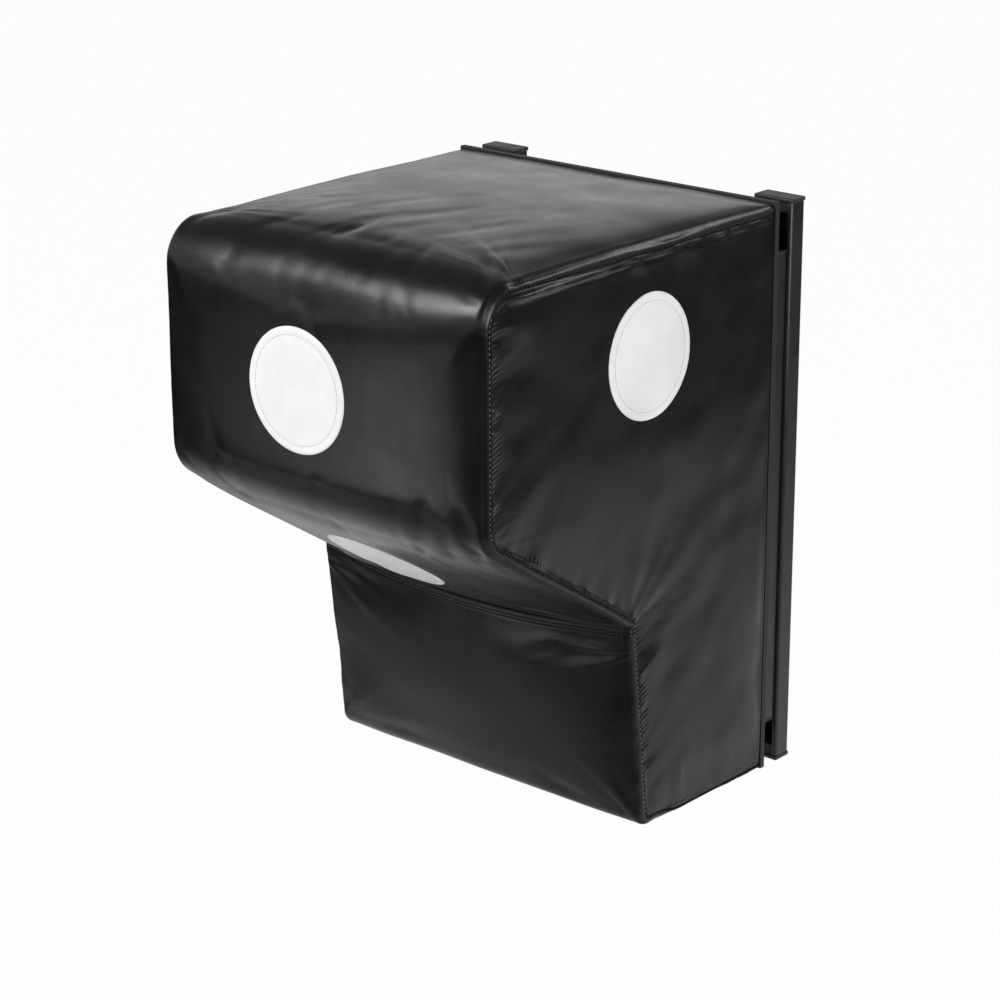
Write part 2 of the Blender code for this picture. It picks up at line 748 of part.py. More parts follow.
def build_shoe(parent, side, end):
    """A slide shoe: its flange runs behind the rail's lips, and its neck fills the slot."""
    flange = RAIL_WIDTH / 2 - RAIL_WALL - SHOE_PLAY
    neck = RAIL_SLOT / 2 - SHOE_PLAY
    neck_front = -RAIL_DEPTH
    corners = [
        (-flange, SHOE_REAR_Y),
        (-flange, SHOE_FRONT_Y),
        (-neck, SHOE_FRONT_Y),
        (-neck, neck_front),
        (neck, neck_front),
        (neck, SHOE_FRONT_Y),
        (flange, SHOE_FRONT_Y),
        (flange, SHOE_REAR_Y),
    ]
    bm = bmesh.new()
    ends = (-SHOE_LENGTH / 2, SHOE_LENGTH / 2)
    loft(bm, [[bm.verts.new((x, y, z)) for x, y in corners] for z in ends])
    soft = [
        edge
        for edge in bm.edges
        if all(abs(abs(vert.co.x) - flange) < 1e-6 for vert in edge.verts)
        and edge.verts[0].co.y == edge.verts[1].co.y
    ]
    bmesh.ops.bevel(
        bm, geom=soft, offset=RAIL_BEND - RAIL_WALL, segments=2, profile=0.5,
        affect="EDGES", material=-1,
    )
    place = (SIDES[side] * RAIL_X, 0, SHOE_HEIGHTS[end])
    shoe = new_object("slide_shoe_" + side + "_" + end, bm, "natural_nylon", parent, place)
    mid_y = (SHOE_REAR_Y + neck_front) / 2
    drill(shoe, "shoe_hole_" + side + "_" + end, [(0, mid_y, 0)], BOLT_HOLE, 4 * SHOE_FLANGE)


def turned(name, material, parent, profile, place, closed=False):
    """A piece turned about its own Y axis from (radius, y) points."""
    bm = bmesh.new()
    verts = [bm.verts.new((radius, y, 0)) for radius, y in profile]
    edges = [bm.edges.new(pair) for pair in zip(verts, verts[1:])]
    if closed:
        edges.append(bm.edges.new((verts[-1], verts[0])))
    bmesh.ops.spin(
        bm, geom=verts + edges, cent=(0, 0, 0), axis=(0, 1, 0),
        angle=2 * math.pi, steps=TURNING_STEPS, use_merge=True,
    )
    bmesh.ops.remove_doubles(bm, verts=bm.verts, dist=1e-6)
    obj = new_object(name, bm, material, parent, place)
    smooth(obj)
    return obj


def build_bolt(parent, side, end):
    """A runner bolt: its head lies behind the shoe inside the rail, and its tip ends in the tee nut."""
    head_front = SHOE_REAR_Y + CLEARANCE
    head_rear = head_front + BOLT_HEAD
    tip = CORE_BOARD_FRONT_Y + TEE_NUT_FLANGE
    edge = BOLT_HEAD_RADIUS / 6
    profile = [
        (0, head_rear),
        (BOLT_HEAD_RADIUS - edge, head_rear),
        (BOLT_HEAD_RADIUS, head_rear - edge),
        (BOLT_HEAD_RADIUS, head_front),
        (BOLT_RADIUS, head_front),
        (BOLT_RADIUS, tip + edge),
        (BOLT_RADIUS - edge, tip),
        (0, tip),
    ]
    place = (SIDES[side] * RAIL_X, 0, SHOE_HEIGHTS[end])
    turned("runner_bolt_" + side + "_" + end, "zinc_steel", parent, profile, place)


def build_tee_nut(parent, side, end):
    """A tee nut let into the core board's front, with its barrel around the bolt."""
    bore = BOLT_RADIUS + CLEARANCE
    front = CORE_BOARD_FRONT_Y
    profile = [
        (bore, front),
        (TEE_NUT_RADIUS, front),
        (TEE_NUT_RADIUS, front + TEE_NUT_FLANGE),
        (TEE_NUT_BARREL_RADIUS, front + TEE_NUT_FLANGE),
        (TEE_NUT_BARREL_RADIUS, front + TEE_NUT_FLANGE + TEE_NUT_BARREL),
        (bore, front + TEE_NUT_FLANGE + TEE_NUT_BARREL),
    ]
    place = (SIDES[side] * RAIL_X, 0, SHOE_HEIGHTS[end])
    turned("tee_nut_" + side + "_" + end, "zinc_steel", parent, profile, place, closed=True)


def build_board_screw(parent, number, x, z):
    """A pan-head screw through the back board into the core board."""
    seat = BACK_Y + CLEARANCE
    profile = [
        (0, seat + SCREW_HEAD),
        (SCREW_HEAD_RADIUS * 0.6, seat + SCREW_HEAD * 0.85),
        (SCREW_HEAD_RADIUS, seat + SCREW_HEAD * 0.35),
        (SCREW_HEAD_RADIUS, seat),
        (SCREW_RADIUS, seat),
        (SCREW_RADIUS, seat - SCREW_LENGTH + 2 * SCREW_RADIUS),
        (0, seat - SCREW_LENGTH),
    ]
    turned("board_screw_" + str(number), "zinc_steel", parent, profile, (x, 0, z))


def disc_mesh(rings):
    """A flat round patch in the XY plane, with rings of points between its middle and its rim."""
    bm = bmesh.new()
    bmesh.ops.create_circle(
        bm, cap_ends=True, cap_tris=True, segments=DISC_SEGMENTS, radius=DISC_RADIUS
    )
    spokes = [edge for edge in bm.edges if min(vert.co.length for vert in edge.verts) < 1e-6]
    if rings:
        bmesh.ops.subdivide_edges(bm, edges=spokes, cuts=rings, use_grid_fill=True)
    return bm


def build_face_disc(parent, name, side_of_outline, across, along_side):
    """A target disc on a face of the band: it follows the face's swelling."""
    corners = pad_corners()
    start = corners[side_of_outline]
    along = (corners[side_of_outline + 1] - start).normalized()
    outward = Vector((along.y, -along.x))
    bm = disc_mesh(2)
    for vert in bm.verts:
        x = across + vert.co.x
        point = start + along * (along_side - vert.co.y)
        place = point + outward * (swelling(x, point) + CLEARANCE)
        vert.co = (x, place.x, place.y)
    finish_disc(parent, name, bm, Vector((0, outward.x, outward.y)))


def build_side_disc(parent, side):
    """A target disc on the flat middle of a side panel."""
    bm = disc_mesh(0)
    x = SIDES[side] * (PAD_WIDTH / 2 + CLEARANCE)
    for vert in bm.verts:
        y = FRONT_Y + SIDE_DISC_BACK + vert.co.x
        vert.co = (x, y, PAD_HEIGHT - SIDE_DISC_DROP + vert.co.y)
    finish_disc(parent, "target_disc_" + side, bm, Vector((SIDES[side], 0, 0)))


def finish_disc(parent, name, bm, outward):
    """Gives a patch its wall, away from the panel that it is sewn on."""
    obj = new_object(name, bm, "white_vinyl", parent)
    if obj.data.polygons[0].normal.dot(outward) < 0:
        obj.data.flip_normals()
    wall = obj.modifiers.new("Vinyl", "SOLIDIFY")
    wall.thickness = SKIN
    wall.offset = 1
    smooth(obj)


def main():
    clear_scene()
    rails = new_empty("wall_side")
    pad = new_empty("height_slide")

    build_vinyl_band(pad)
    build_vinyl_lower(pad)
    build_vinyl_bottom(pad)
    build_band_facing(pad)
    build_lower_facing(pad)
    build_cores(pad)
    build_boards(pad)
    across = BAND_DISC_OFF_CENTRE
    build_face_disc(pad, "target_disc_front", STRIKE, across, FRONT_DISC_DROP)
    build_face_disc(pad, "target_disc_underside", UNDERSIDE, across, UNDERSIDE_DISC_REACH)
    for number, (x, z) in enumerate(screw_points(), start=1):
        build_board_screw(pad, number, x, z)
    for side in SIDES:
        build_vinyl_side(pad, side)
        build_side_facing(pad, side)
        build_side_disc(pad, side)
        build_runner(pad, side)
        build_rail(rails, side)
        for end in ("lower", "upper"):
            build_rail_cap(rails, side, end)
            build_runner_plug(pad, side, end)
            build_shoe(pad, side, end)
            build_bolt(pad, side, end)
            build_tee_nut(pad, side, end)


main()
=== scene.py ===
"""Dresses the wall punching pad: sewn cover, target discs, stitching, hardware finishes and a studio."""

import json
import math

import bmesh
import bpy
import numpy as np
from bpy.props import FloatProperty, FloatVectorProperty, PointerProperty
from mathutils import Matrix, Vector

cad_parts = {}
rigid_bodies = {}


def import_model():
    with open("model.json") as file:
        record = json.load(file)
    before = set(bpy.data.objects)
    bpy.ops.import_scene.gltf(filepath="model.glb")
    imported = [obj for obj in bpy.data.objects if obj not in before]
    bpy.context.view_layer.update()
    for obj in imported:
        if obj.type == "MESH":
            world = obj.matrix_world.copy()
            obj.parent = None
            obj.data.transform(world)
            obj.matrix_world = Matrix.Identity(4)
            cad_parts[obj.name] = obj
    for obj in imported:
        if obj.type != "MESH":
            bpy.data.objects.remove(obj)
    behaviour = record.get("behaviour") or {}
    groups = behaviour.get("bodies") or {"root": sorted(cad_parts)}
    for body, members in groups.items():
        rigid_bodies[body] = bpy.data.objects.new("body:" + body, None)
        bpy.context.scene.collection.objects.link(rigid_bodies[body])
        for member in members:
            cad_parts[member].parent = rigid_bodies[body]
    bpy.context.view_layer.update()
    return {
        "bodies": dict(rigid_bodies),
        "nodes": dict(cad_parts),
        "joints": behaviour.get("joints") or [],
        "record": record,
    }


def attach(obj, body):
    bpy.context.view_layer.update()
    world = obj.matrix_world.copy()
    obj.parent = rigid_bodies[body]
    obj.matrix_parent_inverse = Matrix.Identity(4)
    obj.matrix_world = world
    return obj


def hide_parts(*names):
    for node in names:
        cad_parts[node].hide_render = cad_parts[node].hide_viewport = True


bl_info = {
    "name": "Wall Punching Pad",
    "version": (1, 0, 0),
    "blender": (4, 5, 0),
    "location": "3D View > Sidebar > Wall Pad",
    "description": "Builds the sewn cover, target discs and hardware of a wall punching pad",
    "category": "Add Mesh",
}

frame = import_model()

SIDES = {"left": -1, "right": 1}
ENDS = ("lower", "upper")
PAD = "pad"
WALL_SIDE = "wall_side"

SURFACES = {}  # the cover's panels, for what is sewn on them

PAD_MIDDLE = np.array([0.0, -0.30, 0.40])  # a place inside the pad, which outward directions leave
DISC_CHANNEL = 0.865  # where a disc's stitches run, as a share of its radius
DISC_PROFILE = (  # share of the radius, height over the cover
    (0, 0.0016), (0.55, 0.0016), (0.78, 0.0016), (0.845, 0.0015), (DISC_CHANNEL, 0.0011), (0.885, 0.0015),
    (0.93, 0.0016), (0.972, 0.0014), (0.992, 0.0009), (1.0, -0.0004),
)
CREASE_ROWS = (0.0060, 0.0108)  # how far below the crease its stitch rows run
CHANNEL_DEPTH = 0.0008  # what a row pulls the leatherette in by
CHANNEL_WIDTH = 0.0012
CREASE_PITCH = 0.0058
DISC_PITCH = 0.0042
SEAM_STITCH = (0.0040, 0.0016)  # length, width
CREASE_STITCH = (0.0036, 0.0009)
DISC_STITCH = (0.0032, 0.0008)
DIRECTION_REACH = 0.0008  # how far round a point the cover is felt for its directions

REAR_HOLD = 0.240  # depth over which the board draws the swelling in
FOOT_SHARE = 0.25  # what is left of the swelling at the bottom seam
UNDERSIDE_START = 0.023  # how far behind the striking face the underside's own swelling starts

SEAM_CALM = 0.004  # no pucker this near a seam
PUCKER_PITCH = 0.0062
PUCKER_DEPTH = 0.0038
PUCKER_REACH = 0.0055
PUCKER_END = (0.012, 0.026)  # where the regular puckers start to fade, and where they end
BROAD_FOLDS = ((0.013, 0.03, 0.018, 0.0027), (0.026, 0.08, 0.042, 0.0036))  # width, length, reach, depth

COARSE_STEP = 0.006  # between the points that the simulation moves
SLACK_REACH = 0.060  # how far from a seam the panel has slack
SLACK = 0.08
FURTHEST = 0.008  # the stuffing moves nothing farther than this
FRAMES = 20
CLOTH = {
    "quality": 6, "mass": 0.15, "tension_stiffness": 30, "compression_stiffness": 30, "shear_stiffness": 10,
    "bending_stiffness": 0.4, "use_pressure": True, "uniform_pressure_force": 4,
}

CLOUD_SPREAD = (0.3, 0.7)  # between which cloudy noise mostly lies

FLOOR_DROP = 1.0  # the floor lies this far below the pad
PAINTED_FLOOR_SHADE = (  # painted shade of the floor's glow that gloss sees, round a place or along an axis: from where, to where, and how bright at each
    # painted falloff of the glow away from the pad
    ((0.7, 0.4, -FLOOR_DROP), 2.5, 4.2, 1.0, 0.04),
    # painted shadow of the pad under it
    ((0.0, -0.3, -FLOOR_DROP), 0.6, 1.2, 0.40, 1.0),
    ("X", -3.4, -1.4, 0.04, 1.0),
    ("Y", -2.0, -0.6, 0.04, 1.0),
)
ROOM_SHADES = ((0.30, (0.70, 0.70, 0.70, 1)), (0.55, (0.16, 0.16, 0.163, 1)))  # height, colour


# Outline of the pad, seen from the side as (y, z)


def smoothstep(t):
    """A soft step from 0 to 1."""
    t = np.clip(t, 0.0, 1.0)
    return t * t * (3 - 2 * t)


def grown(value, start, over):
    """0 up to a start, and 1 from a given distance past it."""
    return smoothstep((value - start) / over)


def arc_points(centre, spoke, turn, steps=20):
    """Points of an arc that starts at centre + spoke."""
    points = []
    for step in range(steps + 1):
        cos, sin = math.cos(turn * step / steps), math.sin(turn * step / steps)
        points.append(centre + np.array([cos * spoke[0] - sin * spoke[1], sin * spoke[0] + cos * spoke[1]]))
    return points


def rounded(before, corner, after, radius, steps=20):
    """Points that round a corner of the outline."""
    coming = (corner - before) / np.linalg.norm(corner - before)
    leaving = (after - corner) / np.linalg.norm(after - corner)
    turn = math.atan2(coming[0] * leaving[1] - coming[1] * leaving[0], float(coming @ leaving))
    start = corner - coming * radius * math.tan(abs(turn) / 2)
    centre = start + np.array([-coming[1], coming[0]]) * math.copysign(radius, turn)
    return arc_points(centre, start - centre, turn, steps)


def outline_corners(sizes):
    """The pad's corners, from the rear top round the front to the rear bottom."""
    front = sizes.board_rear - sizes.depth
    rear = sizes.board_rear - sizes.board_thickness
    crease = front + sizes.overhang
    lower_edge = sizes.height - sizes.strike_height
    corners = [
        (rear, sizes.height),
        (front, sizes.height),
        (front, lower_edge),
        (crease, lower_edge - sizes.underside_drop),
        (crease + sizes.lower_lean, 0.0),
        (rear, 0.0),
    ]
    return [np.array(corner) for corner in corners]


def thinned(points):
    """The points of a line without those that lie on a straight stretch."""
    kept = [points[0]]
    for index in range(1, len(points) - 1):
        coming, leaving = points[index] - kept[-1], points[index + 1] - points[index]
        turn = abs(coming[0] * leaving[1] - coming[1] * leaving[0])
        if turn > 0.002 * np.linalg.norm(coming) * np.linalg.norm(leaving):
            kept.append(points[index])
    return np.array(kept + [points[-1]])


class Path:
    """A line of points that gives its place and its way out at any distance along it."""

    def __init__(self, points):
        points = np.array(points)
        steps = np.linalg.norm(np.diff(points, axis=0), axis=1)
        self.points = thinned(points[np.concatenate([[True], steps > 1e-7])])
        steps = np.linalg.norm(np.diff(self.points, axis=0), axis=1)
        self.runs = np.concatenate([[0.0], np.cumsum(steps)])
        self.length = self.runs[-1]

    def at(self, run):
        """The places at these distances along the line."""
        return np.stack([np.interp(run, self.runs, self.points[:, k]) for k in (0, 1)], axis=-1)

    def outward(self, run, reach=0.0012):
        """The way out of the pad there."""
        along = self.at(np.clip(run + reach, 0, self.length)) - self.at(np.clip(run - reach, 0, self.length))
        along = along / np.linalg.norm(along, axis=-1, keepdims=True)
        return np.stack([along[..., 1], -along[..., 0]], axis=-1)

    def stretch(self, start, end):
        """The part of the line between two runs."""
        inner = self.points[(self.runs > start) & (self.runs < end)]
        return Path(np.vstack([self.at(start), inner, self.at(end)]))

    def nearest(self, points):
        """Distance to the line, and the run of the nearest place on it."""
        best = np.full(len(points), 1e9)
        run = np.zeros(len(points))
        for index in range(len(self.points) - 1):
            start, end = self.points[index], self.points[index + 1]
            along = end - start
            share = np.clip((points - start) @ along / (along @ along), 0, 1)
            gap = np.linalg.norm(points - start - share[:, None] * along, axis=1)
            closer = gap < best
            best[closer] = gap[closer]
            run[closer] = self.runs[index] + share[closer] * (self.runs[index + 1] - self.runs[index])
        return best, run


def band_path(sizes):
    """From the rear of the top, round the striking face and under the overhang to the crease."""
    corners = outline_corners(sizes)
    points = [corners[0]]
    points += rounded(corners[0], corners[1], corners[2], sizes.corner_radius)
    points += rounded(corners[1], corners[2], corners[3], sizes.corner_radius)
    return Path(points + [corners[3]])


def foot_arc(sizes):
    """The rounded lower corner of the front."""
    corners = outline_corners(sizes)
    return rounded(corners[3], corners[4], corners[5], sizes.foot_radius)


def lower_path(sizes):
    """Down the lower block's face, and round its lower corner."""
    foot = foot_arc(sizes)
    return Path([outline_corners(sizes)[3]] + foot + [foot[-1] + np.array([sizes.foot_lap, 0.0])])


def bottom_path(sizes):
    """Along the bottom, from the lower panel's seam to the rear."""
    return Path([foot_arc(sizes)[-1] + np.array([sizes.foot_lap, 0.0]), outline_corners(sizes)[5]])


def panel_edge(sizes):
    """Half of a front panel from its middle over its rolled edge into the seam, as (x, drop)."""
    flat = sizes.half_width - sizes.roll
    points = [np.array([0.0, 0.0])]
    points += arc_points(np.array([flat, sizes.roll]), np.array([0.0, -sizes.roll]), math.pi / 2)
    centre = np.array([sizes.half_width - sizes.curl, sizes.roll])
    return Path(points + arc_points(centre, np.array([sizes.curl, 0.0]), math.radians(80), 8))


# Soft shape of the panels


def lattice(place, seed):
    """A value between -1 and 1 for each pair of whole numbers."""
    mixed = np.sin(place[0] * 12.9898 + place[1] * 78.233 + seed * 37.719) * 43758.5453
    return 2 * (mixed - np.floor(mixed)) - 1


def patchy(u, v, seed):
    """Smooth patches one unit across, between about -1 and 1."""
    u, v = np.broadcast_arrays(np.asarray(u, float), np.asarray(v, float))
    low_u, low_v = np.floor(u), np.floor(v)
    share_u, share_v = smoothstep(u - low_u), smoothstep(v - low_v)
    low = lattice((low_u, low_v), seed) * (1 - share_u) + lattice((low_u + 1, low_v), seed) * share_u
    high = lattice((low_u, low_v + 1), seed) * (1 - share_u) + lattice((low_u + 1, low_v + 1), seed) * share_u
    return low * (1 - share_v) + high * share_v


def gathers(run, gap, seed, slant=0.35):
    """Puckers that a seam draws into a panel, regular and broad ones, leaning as they leave the seam."""
    lean = run + slant * gap
    strength = 0.55 + 0.45 * patchy(run / 0.07, 0, seed + 9)
    beat = 0.5 + 0.5 * np.sin(2 * math.pi * (lean / PUCKER_PITCH + 0.5 * patchy(run / 0.02, 0, seed)))
    reach = PUCKER_REACH * (1 + 0.5 * patchy(run / 0.017, 0, seed + 6))
    fine = beat**2 * (0.6 + 0.4 * patchy(run / 0.009, 0, seed + 8)) * np.exp(-gap / reach) * PUCKER_DEPTH
    fine = fine * smoothstep((PUCKER_END[1] - gap) / (PUCKER_END[1] - PUCKER_END[0]))
    broad = 0
    for number, (width, length, fade, depth) in enumerate(BROAD_FOLDS, 1):
        broad = broad + patchy(lean / width, gap / length, seed + number) * np.exp(-gap / fade) * depth
    return (fine + broad * strength) * smoothstep(gap / SEAM_CALM)


def fan(u, v, apex, heading, spread, reach, width, height, seed):
    """Folds that run out of one point like the ribs of a fan."""
    du, dv = u - apex[0], v - apex[1]
    distance = np.hypot(du, dv) + 1e-6
    angle = (np.arctan2(dv, du) - heading + math.pi) % (2 * math.pi) - math.pi
    inside = smoothstep(1 - np.abs(angle) / spread) * smoothstep(1 - distance / reach)
    rib = patchy(angle / width + 40, distance / (1.1 * reach), seed)
    return height * rib * inside * smoothstep(distance / (0.30 * reach))


def dive(gap, radius, depth):
    """How far a sheet sinks where it ends in a seam."""
    inside = np.clip(1 - gap / radius, 0, 1)
    return depth * (1 - np.sqrt(np.clip(1 - inside**2, 0, 1)))


def crease_mitre(sizes):
    """The way out at the crease, halfway between the underside and the lower face."""
    corners = outline_corners(sizes)
    under, lower = corners[3] - corners[2], corners[4] - corners[3]
    first = np.array([under[1], -under[0]]) / np.linalg.norm(under)
    second = np.array([lower[1], -lower[0]]) / np.linalg.norm(lower)
    return (first + second) / (1 + first @ second)


def swelling(x, point, sizes):
    """How far the stuffed faces stand out between the side seams."""
    corners = outline_corners(sizes)
    across = np.clip(np.abs(x) / (sizes.half_width - 0.001), 0, 1)
    held = smoothstep((corners[0][0] - point[:, 0]) / REAR_HOLD)
    foot = FOOT_SHARE + (1 - FOOT_SHARE) * smoothstep(point[:, 1] / corners[3][1])
    face = sizes.crown * (1 - across**4) * held * foot
    start = corners[2][0] + UNDERSIDE_START
    under = np.clip((point[:, 0] - start) / (corners[3][0] - start), 0, 1)
    near = np.where(point[:, 1] > corners[2][1], 0.0, under * smoothstep(point[:, 1] / corners[3][1]))
    return face + (sizes.crease_crown * (1 - across**2) - face) * near


def spline_weights(t):
    """Weights of four neighbouring values, for a smooth value between the middle two."""
    return (1 - t) ** 3 / 6, (3 * t**3 - 6 * t**2 + 4) / 6, (3 * t**2 - 3 * t**3 + 3 * t + 1) / 6, t**3 / 6


def smooth_value(field, column, row):
    """The value of a grid of vectors between its columns and rows."""
    rows, columns = field.shape[:2]
    left = np.clip(np.floor(column).astype(int), 0, columns - 2)
    low = np.clip(np.floor(row).astype(int), 0, rows - 2)
    total = np.zeros((len(column), 3))
    for down, weight in enumerate(spline_weights(row - low)):
        for right, share in enumerate(spline_weights(column - left)):
            near = field[np.clip(low + down - 1, 0, rows - 1), np.clip(left + right - 1, 0, columns - 1)]
            total += (weight * share)[:, None] * near
    return total


class WrapPanel:
    """A panel that runs from side seam to side seam: a surface of (across, run)."""

    mitre_reach = 0.055  # how far from the crease the two panels there lean together
    hold = 0.010  # how far from a side seam the stuffing has its full effect
    folds_grow = (0.002, 0.006)  # where the folds start, from a side seam, and over what distance they grow
    ends_grow = (0.004, 0.016)  # the same for the dives into the seams at the panel's ends
    flattened_over = 0.05  # the run over which a flattened edge comes in

    def __init__(self, sizes, path, folds, crease_end, start_dive, end_dive, flattened=0.0, settling=0.035):
        self.flattened = flattened
        self.settling = settling
        self.sizes = sizes
        self.path = path
        self.edge = panel_edge(sizes)
        self.folds = folds
        self.crease_end = crease_end
        self.dives = (start_dive, end_dive)
        self.stuffing = None

    def coarse(self, step):
        """Places of a coarse grid, as columns across and rows along the run."""
        across = evenly(-self.edge.length, self.edge.length, step)
        run = evenly(0, self.path.length, step)

        def place(column, row):
            return self.at(across[column], run[row], False), self.edge.length - np.abs(across[column])

        return len(across), len(run), place

    def pushed(self, across, run):
        """How far the stuffing pushes the panel out."""
        rows, columns = self.stuffing.shape[:2]
        column = (across + self.edge.length) / (2 * self.edge.length) * (columns - 1)
        return smooth_value(self.stuffing, column, run / self.path.length * (rows - 1))

    def at(self, across, run, folded=True):
        """Places on the panel, with its folds and its stuffing where they are asked for."""
        across, run = np.broadcast_arrays(np.asarray(across, float), np.asarray(run, float))
        sign = np.where(across < 0, -1.0, 1.0)
        spot = self.edge.at(np.abs(across))
        turned = self.edge.outward(np.abs(across), 0.0004)
        base = self.path.at(run)
        out = self.path.outward(run)
        if self.crease_end is not None:
            left = self.path.length - run if self.crease_end == "end" else run
            near = smoothstep(1 - left / self.mitre_reach)[..., None]
            out = out * (1 - near) + crease_mitre(self.sizes) * near
        gap = self.edge.length - np.abs(across)
        ends = dive(run, *self.dives[0]) + dive(self.path.length - run, *self.dives[1])
        drop = spot[:, 1] * (1 - self.flattened * smoothstep(run / self.flattened_over))
        lift = swelling(spot[:, 0], base, self.sizes) - drop - ends * grown(gap, *self.ends_grow)
        x = sign * spot[:, 0]
        if folded:
            detail = self.folds(across, run, gap) * grown(gap, *self.folds_grow)
            lift = lift - detail * turned[:, 1]
            x = x + sign * detail * turned[:, 0]
        points = np.stack([x, base[:, 0] + out[:, 0] * lift, base[:, 1] + out[:, 1] * lift], axis=1)
        if folded and self.stuffing is not None:
            ends = np.minimum(run, self.path.length - run)
            held = smoothstep(np.minimum(gap / self.hold, ends / self.settling))
            points = points + self.pushed(across, run) * held[:, None]
        return points

    def seam(self, side, step=0.002):
        """The panel's edge in the side seam, as (y, z)."""
        runs = evenly(0, self.path.length, step)
        return self.at(SIDES[side] * self.edge.length, runs, False)[:, 1:]


class SidePanel:
    """A side panel: a surface of (y, z)."""

    hold = 0.010  # how far from a seam the stuffing has its full effect
    tuck = 0.0008  # how far inside the pad's width the panel stays beside its seams
    bulge = (0.0015, 0.025)  # how far it stands out, and the distance from a seam that it takes to do so
    folds_grow = (0.0015, 0.005)  # where the folds start, from a seam, and over what distance they grow
    calm_foot = 0.06  # height over which the folds die away above the bottom seam
    calm_rear = 0.020  # and depth over which they do before the board
    rear_dive = (0.004, 0.0012)  # radius and depth of the turn into the board
    rear_grow = (0.001, 0.004)  # where that turn starts, from a seam, and over what distance it grows
    settling = 0.07  # height over which the stuffing's push dies away
    blend = 0.008  # over which the puckers of two stretches mix at a corner

    def __init__(self, sizes, side, seam, folds):
        self.sizes = sizes
        self.sign = SIDES[side]
        self.path = seam
        self.folds = folds
        self.rear = outline_corners(sizes)[0][0]
        top = seam.points[:, 1].max()
        first = int(np.max(np.nonzero(seam.points[:, 1] > top - 1e-5)))
        last = int(np.argmin(seam.points[:, 1]))
        self.front_line = seam.points[first:last + 1]
        self.span = (seam.points[last, 1], top)
        self.stuffing = None
        corners = outline_corners(sizes)
        _, turns = seam.nearest(np.array([corners[1], corners[2], corners[4]]))
        ends = [0.0, *turns, seam.length]
        self.stretches = [(start, seam.stretch(start, end)) for start, end in zip(ends, ends[1:])]

    def near(self, y, z):
        """For each stretch of the seam between two corners: its share, the nearest run and the distance."""
        places = np.stack([y, z], axis=-1)
        found = [(start, *line.nearest(places)) for start, line in self.stretches]
        closest = np.min([gap for _, gap, _ in found], axis=0)
        shares = [np.exp((closest - gap) / self.blend) for _, gap, _ in found]
        total = np.sum(shares, axis=0)
        return [(share / total, start + run, gap) for share, (start, gap, run) in zip(shares, found)]

    def coarse(self, step):
        """Places of a coarse grid, as columns from the front seam back and rows up the panel."""
        share = evenly(0, 1, step / 0.35)
        height = evenly(*self.span, step)

        def place(column, row):
            z = height[row]
            y = self.front(z) + (self.rear - self.front(z)) * share[column]
            points, _, gap = self.at(y, z, False)
            return points, gap

        return len(share), len(height), place

    def pushed(self, y, z):
        """How far the stuffing pushes the panel out."""
        rows, columns = self.stuffing.shape[:2]
        front = self.front(z)
        column = np.clip((y - front) / np.maximum(self.rear - front, 0.02), 0, 1) * (columns - 1)
        row = (z - self.span[0]) / (self.span[1] - self.span[0]) * (rows - 1)
        return smooth_value(self.stuffing, column, row)

    def front(self, height):
        """How far forward the seam lies at a height."""
        return np.interp(-np.asarray(height), -self.front_line[:, 1], self.front_line[:, 0])

    def at(self, y, z, folded=True):
        """Places on the panel, with how far along its seam and how far from it each one lies."""
        y, z = np.broadcast_arrays(np.asarray(y, float), np.asarray(z, float))
        gap, run = self.path.nearest(np.stack([y, z], axis=-1))
        behind = self.rear - y
        curl = self.sizes.curl
        inside = np.clip(1 - gap / curl, 0, 1)
        x = self.sizes.half_width - curl + (curl - self.tuck) * np.sqrt(1 - inside**2)
        x = x + self.bulge[0] * (1 - np.exp(-gap / self.bulge[1]))
        above = z - self.span[0]
        if folded:
            calm = grown(gap, *self.folds_grow) * (0.2 + 0.8 * smoothstep(above / self.calm_foot))
            calm = calm * (0.1 + 0.9 * smoothstep(behind / self.calm_rear))
            x = x + self.folds(y, z, self.near(y, z), behind) * calm
        x = x - dive(behind, *self.rear_dive) * grown(gap, *self.rear_grow)
        points = np.stack([self.sign * x, y, z], axis=1)
        if folded and self.stuffing is not None:
            held = smoothstep(np.minimum(np.minimum(gap, behind) / self.hold, above / self.settling))
            points[:, 0] += self.pushed(y, z)[:, 0] * held
        return points, run, gap


# Sheets


def evenly(start, end, step):
    """Places from start to end at about the given step."""
    return np.linspace(start, end, max(2, int(round(abs(end - start) / step)) + 1))


def joined(*runs):
    """Runs of places put end to end."""
    return np.unique(np.round(np.concatenate(runs), 6))


def link(name, mesh):
    """An object of the mesh, in the scene."""
    obj = bpy.data.objects.new(name, mesh)
    bpy.context.scene.collection.objects.link(obj)
    return obj


def finished(name, bm, smooth=False):
    """The mesh of a bmesh, which is freed."""
    mesh = bpy.data.meshes.new(name)
    bm.to_mesh(mesh)
    bm.free()
    if smooth:
        mesh.shade_smooth()
    return mesh


def places_of(mesh):
    """Where a mesh's points are, as rows of (x, y, z)."""
    flat = np.empty(len(mesh.vertices) * 3)
    mesh.vertices.foreach_get("co", flat)
    return flat.reshape(-1, 3)


def put_places(mesh, points):
    """Moves a mesh's points."""
    mesh.vertices.foreach_set("co", np.asarray(points, np.float32).ravel())
    mesh.update()


def values_of(mesh, label):
    """What an attribute says at each point."""
    values = np.empty(len(mesh.vertices))
    mesh.attributes[label].data.foreach_get("value", values)
    return values


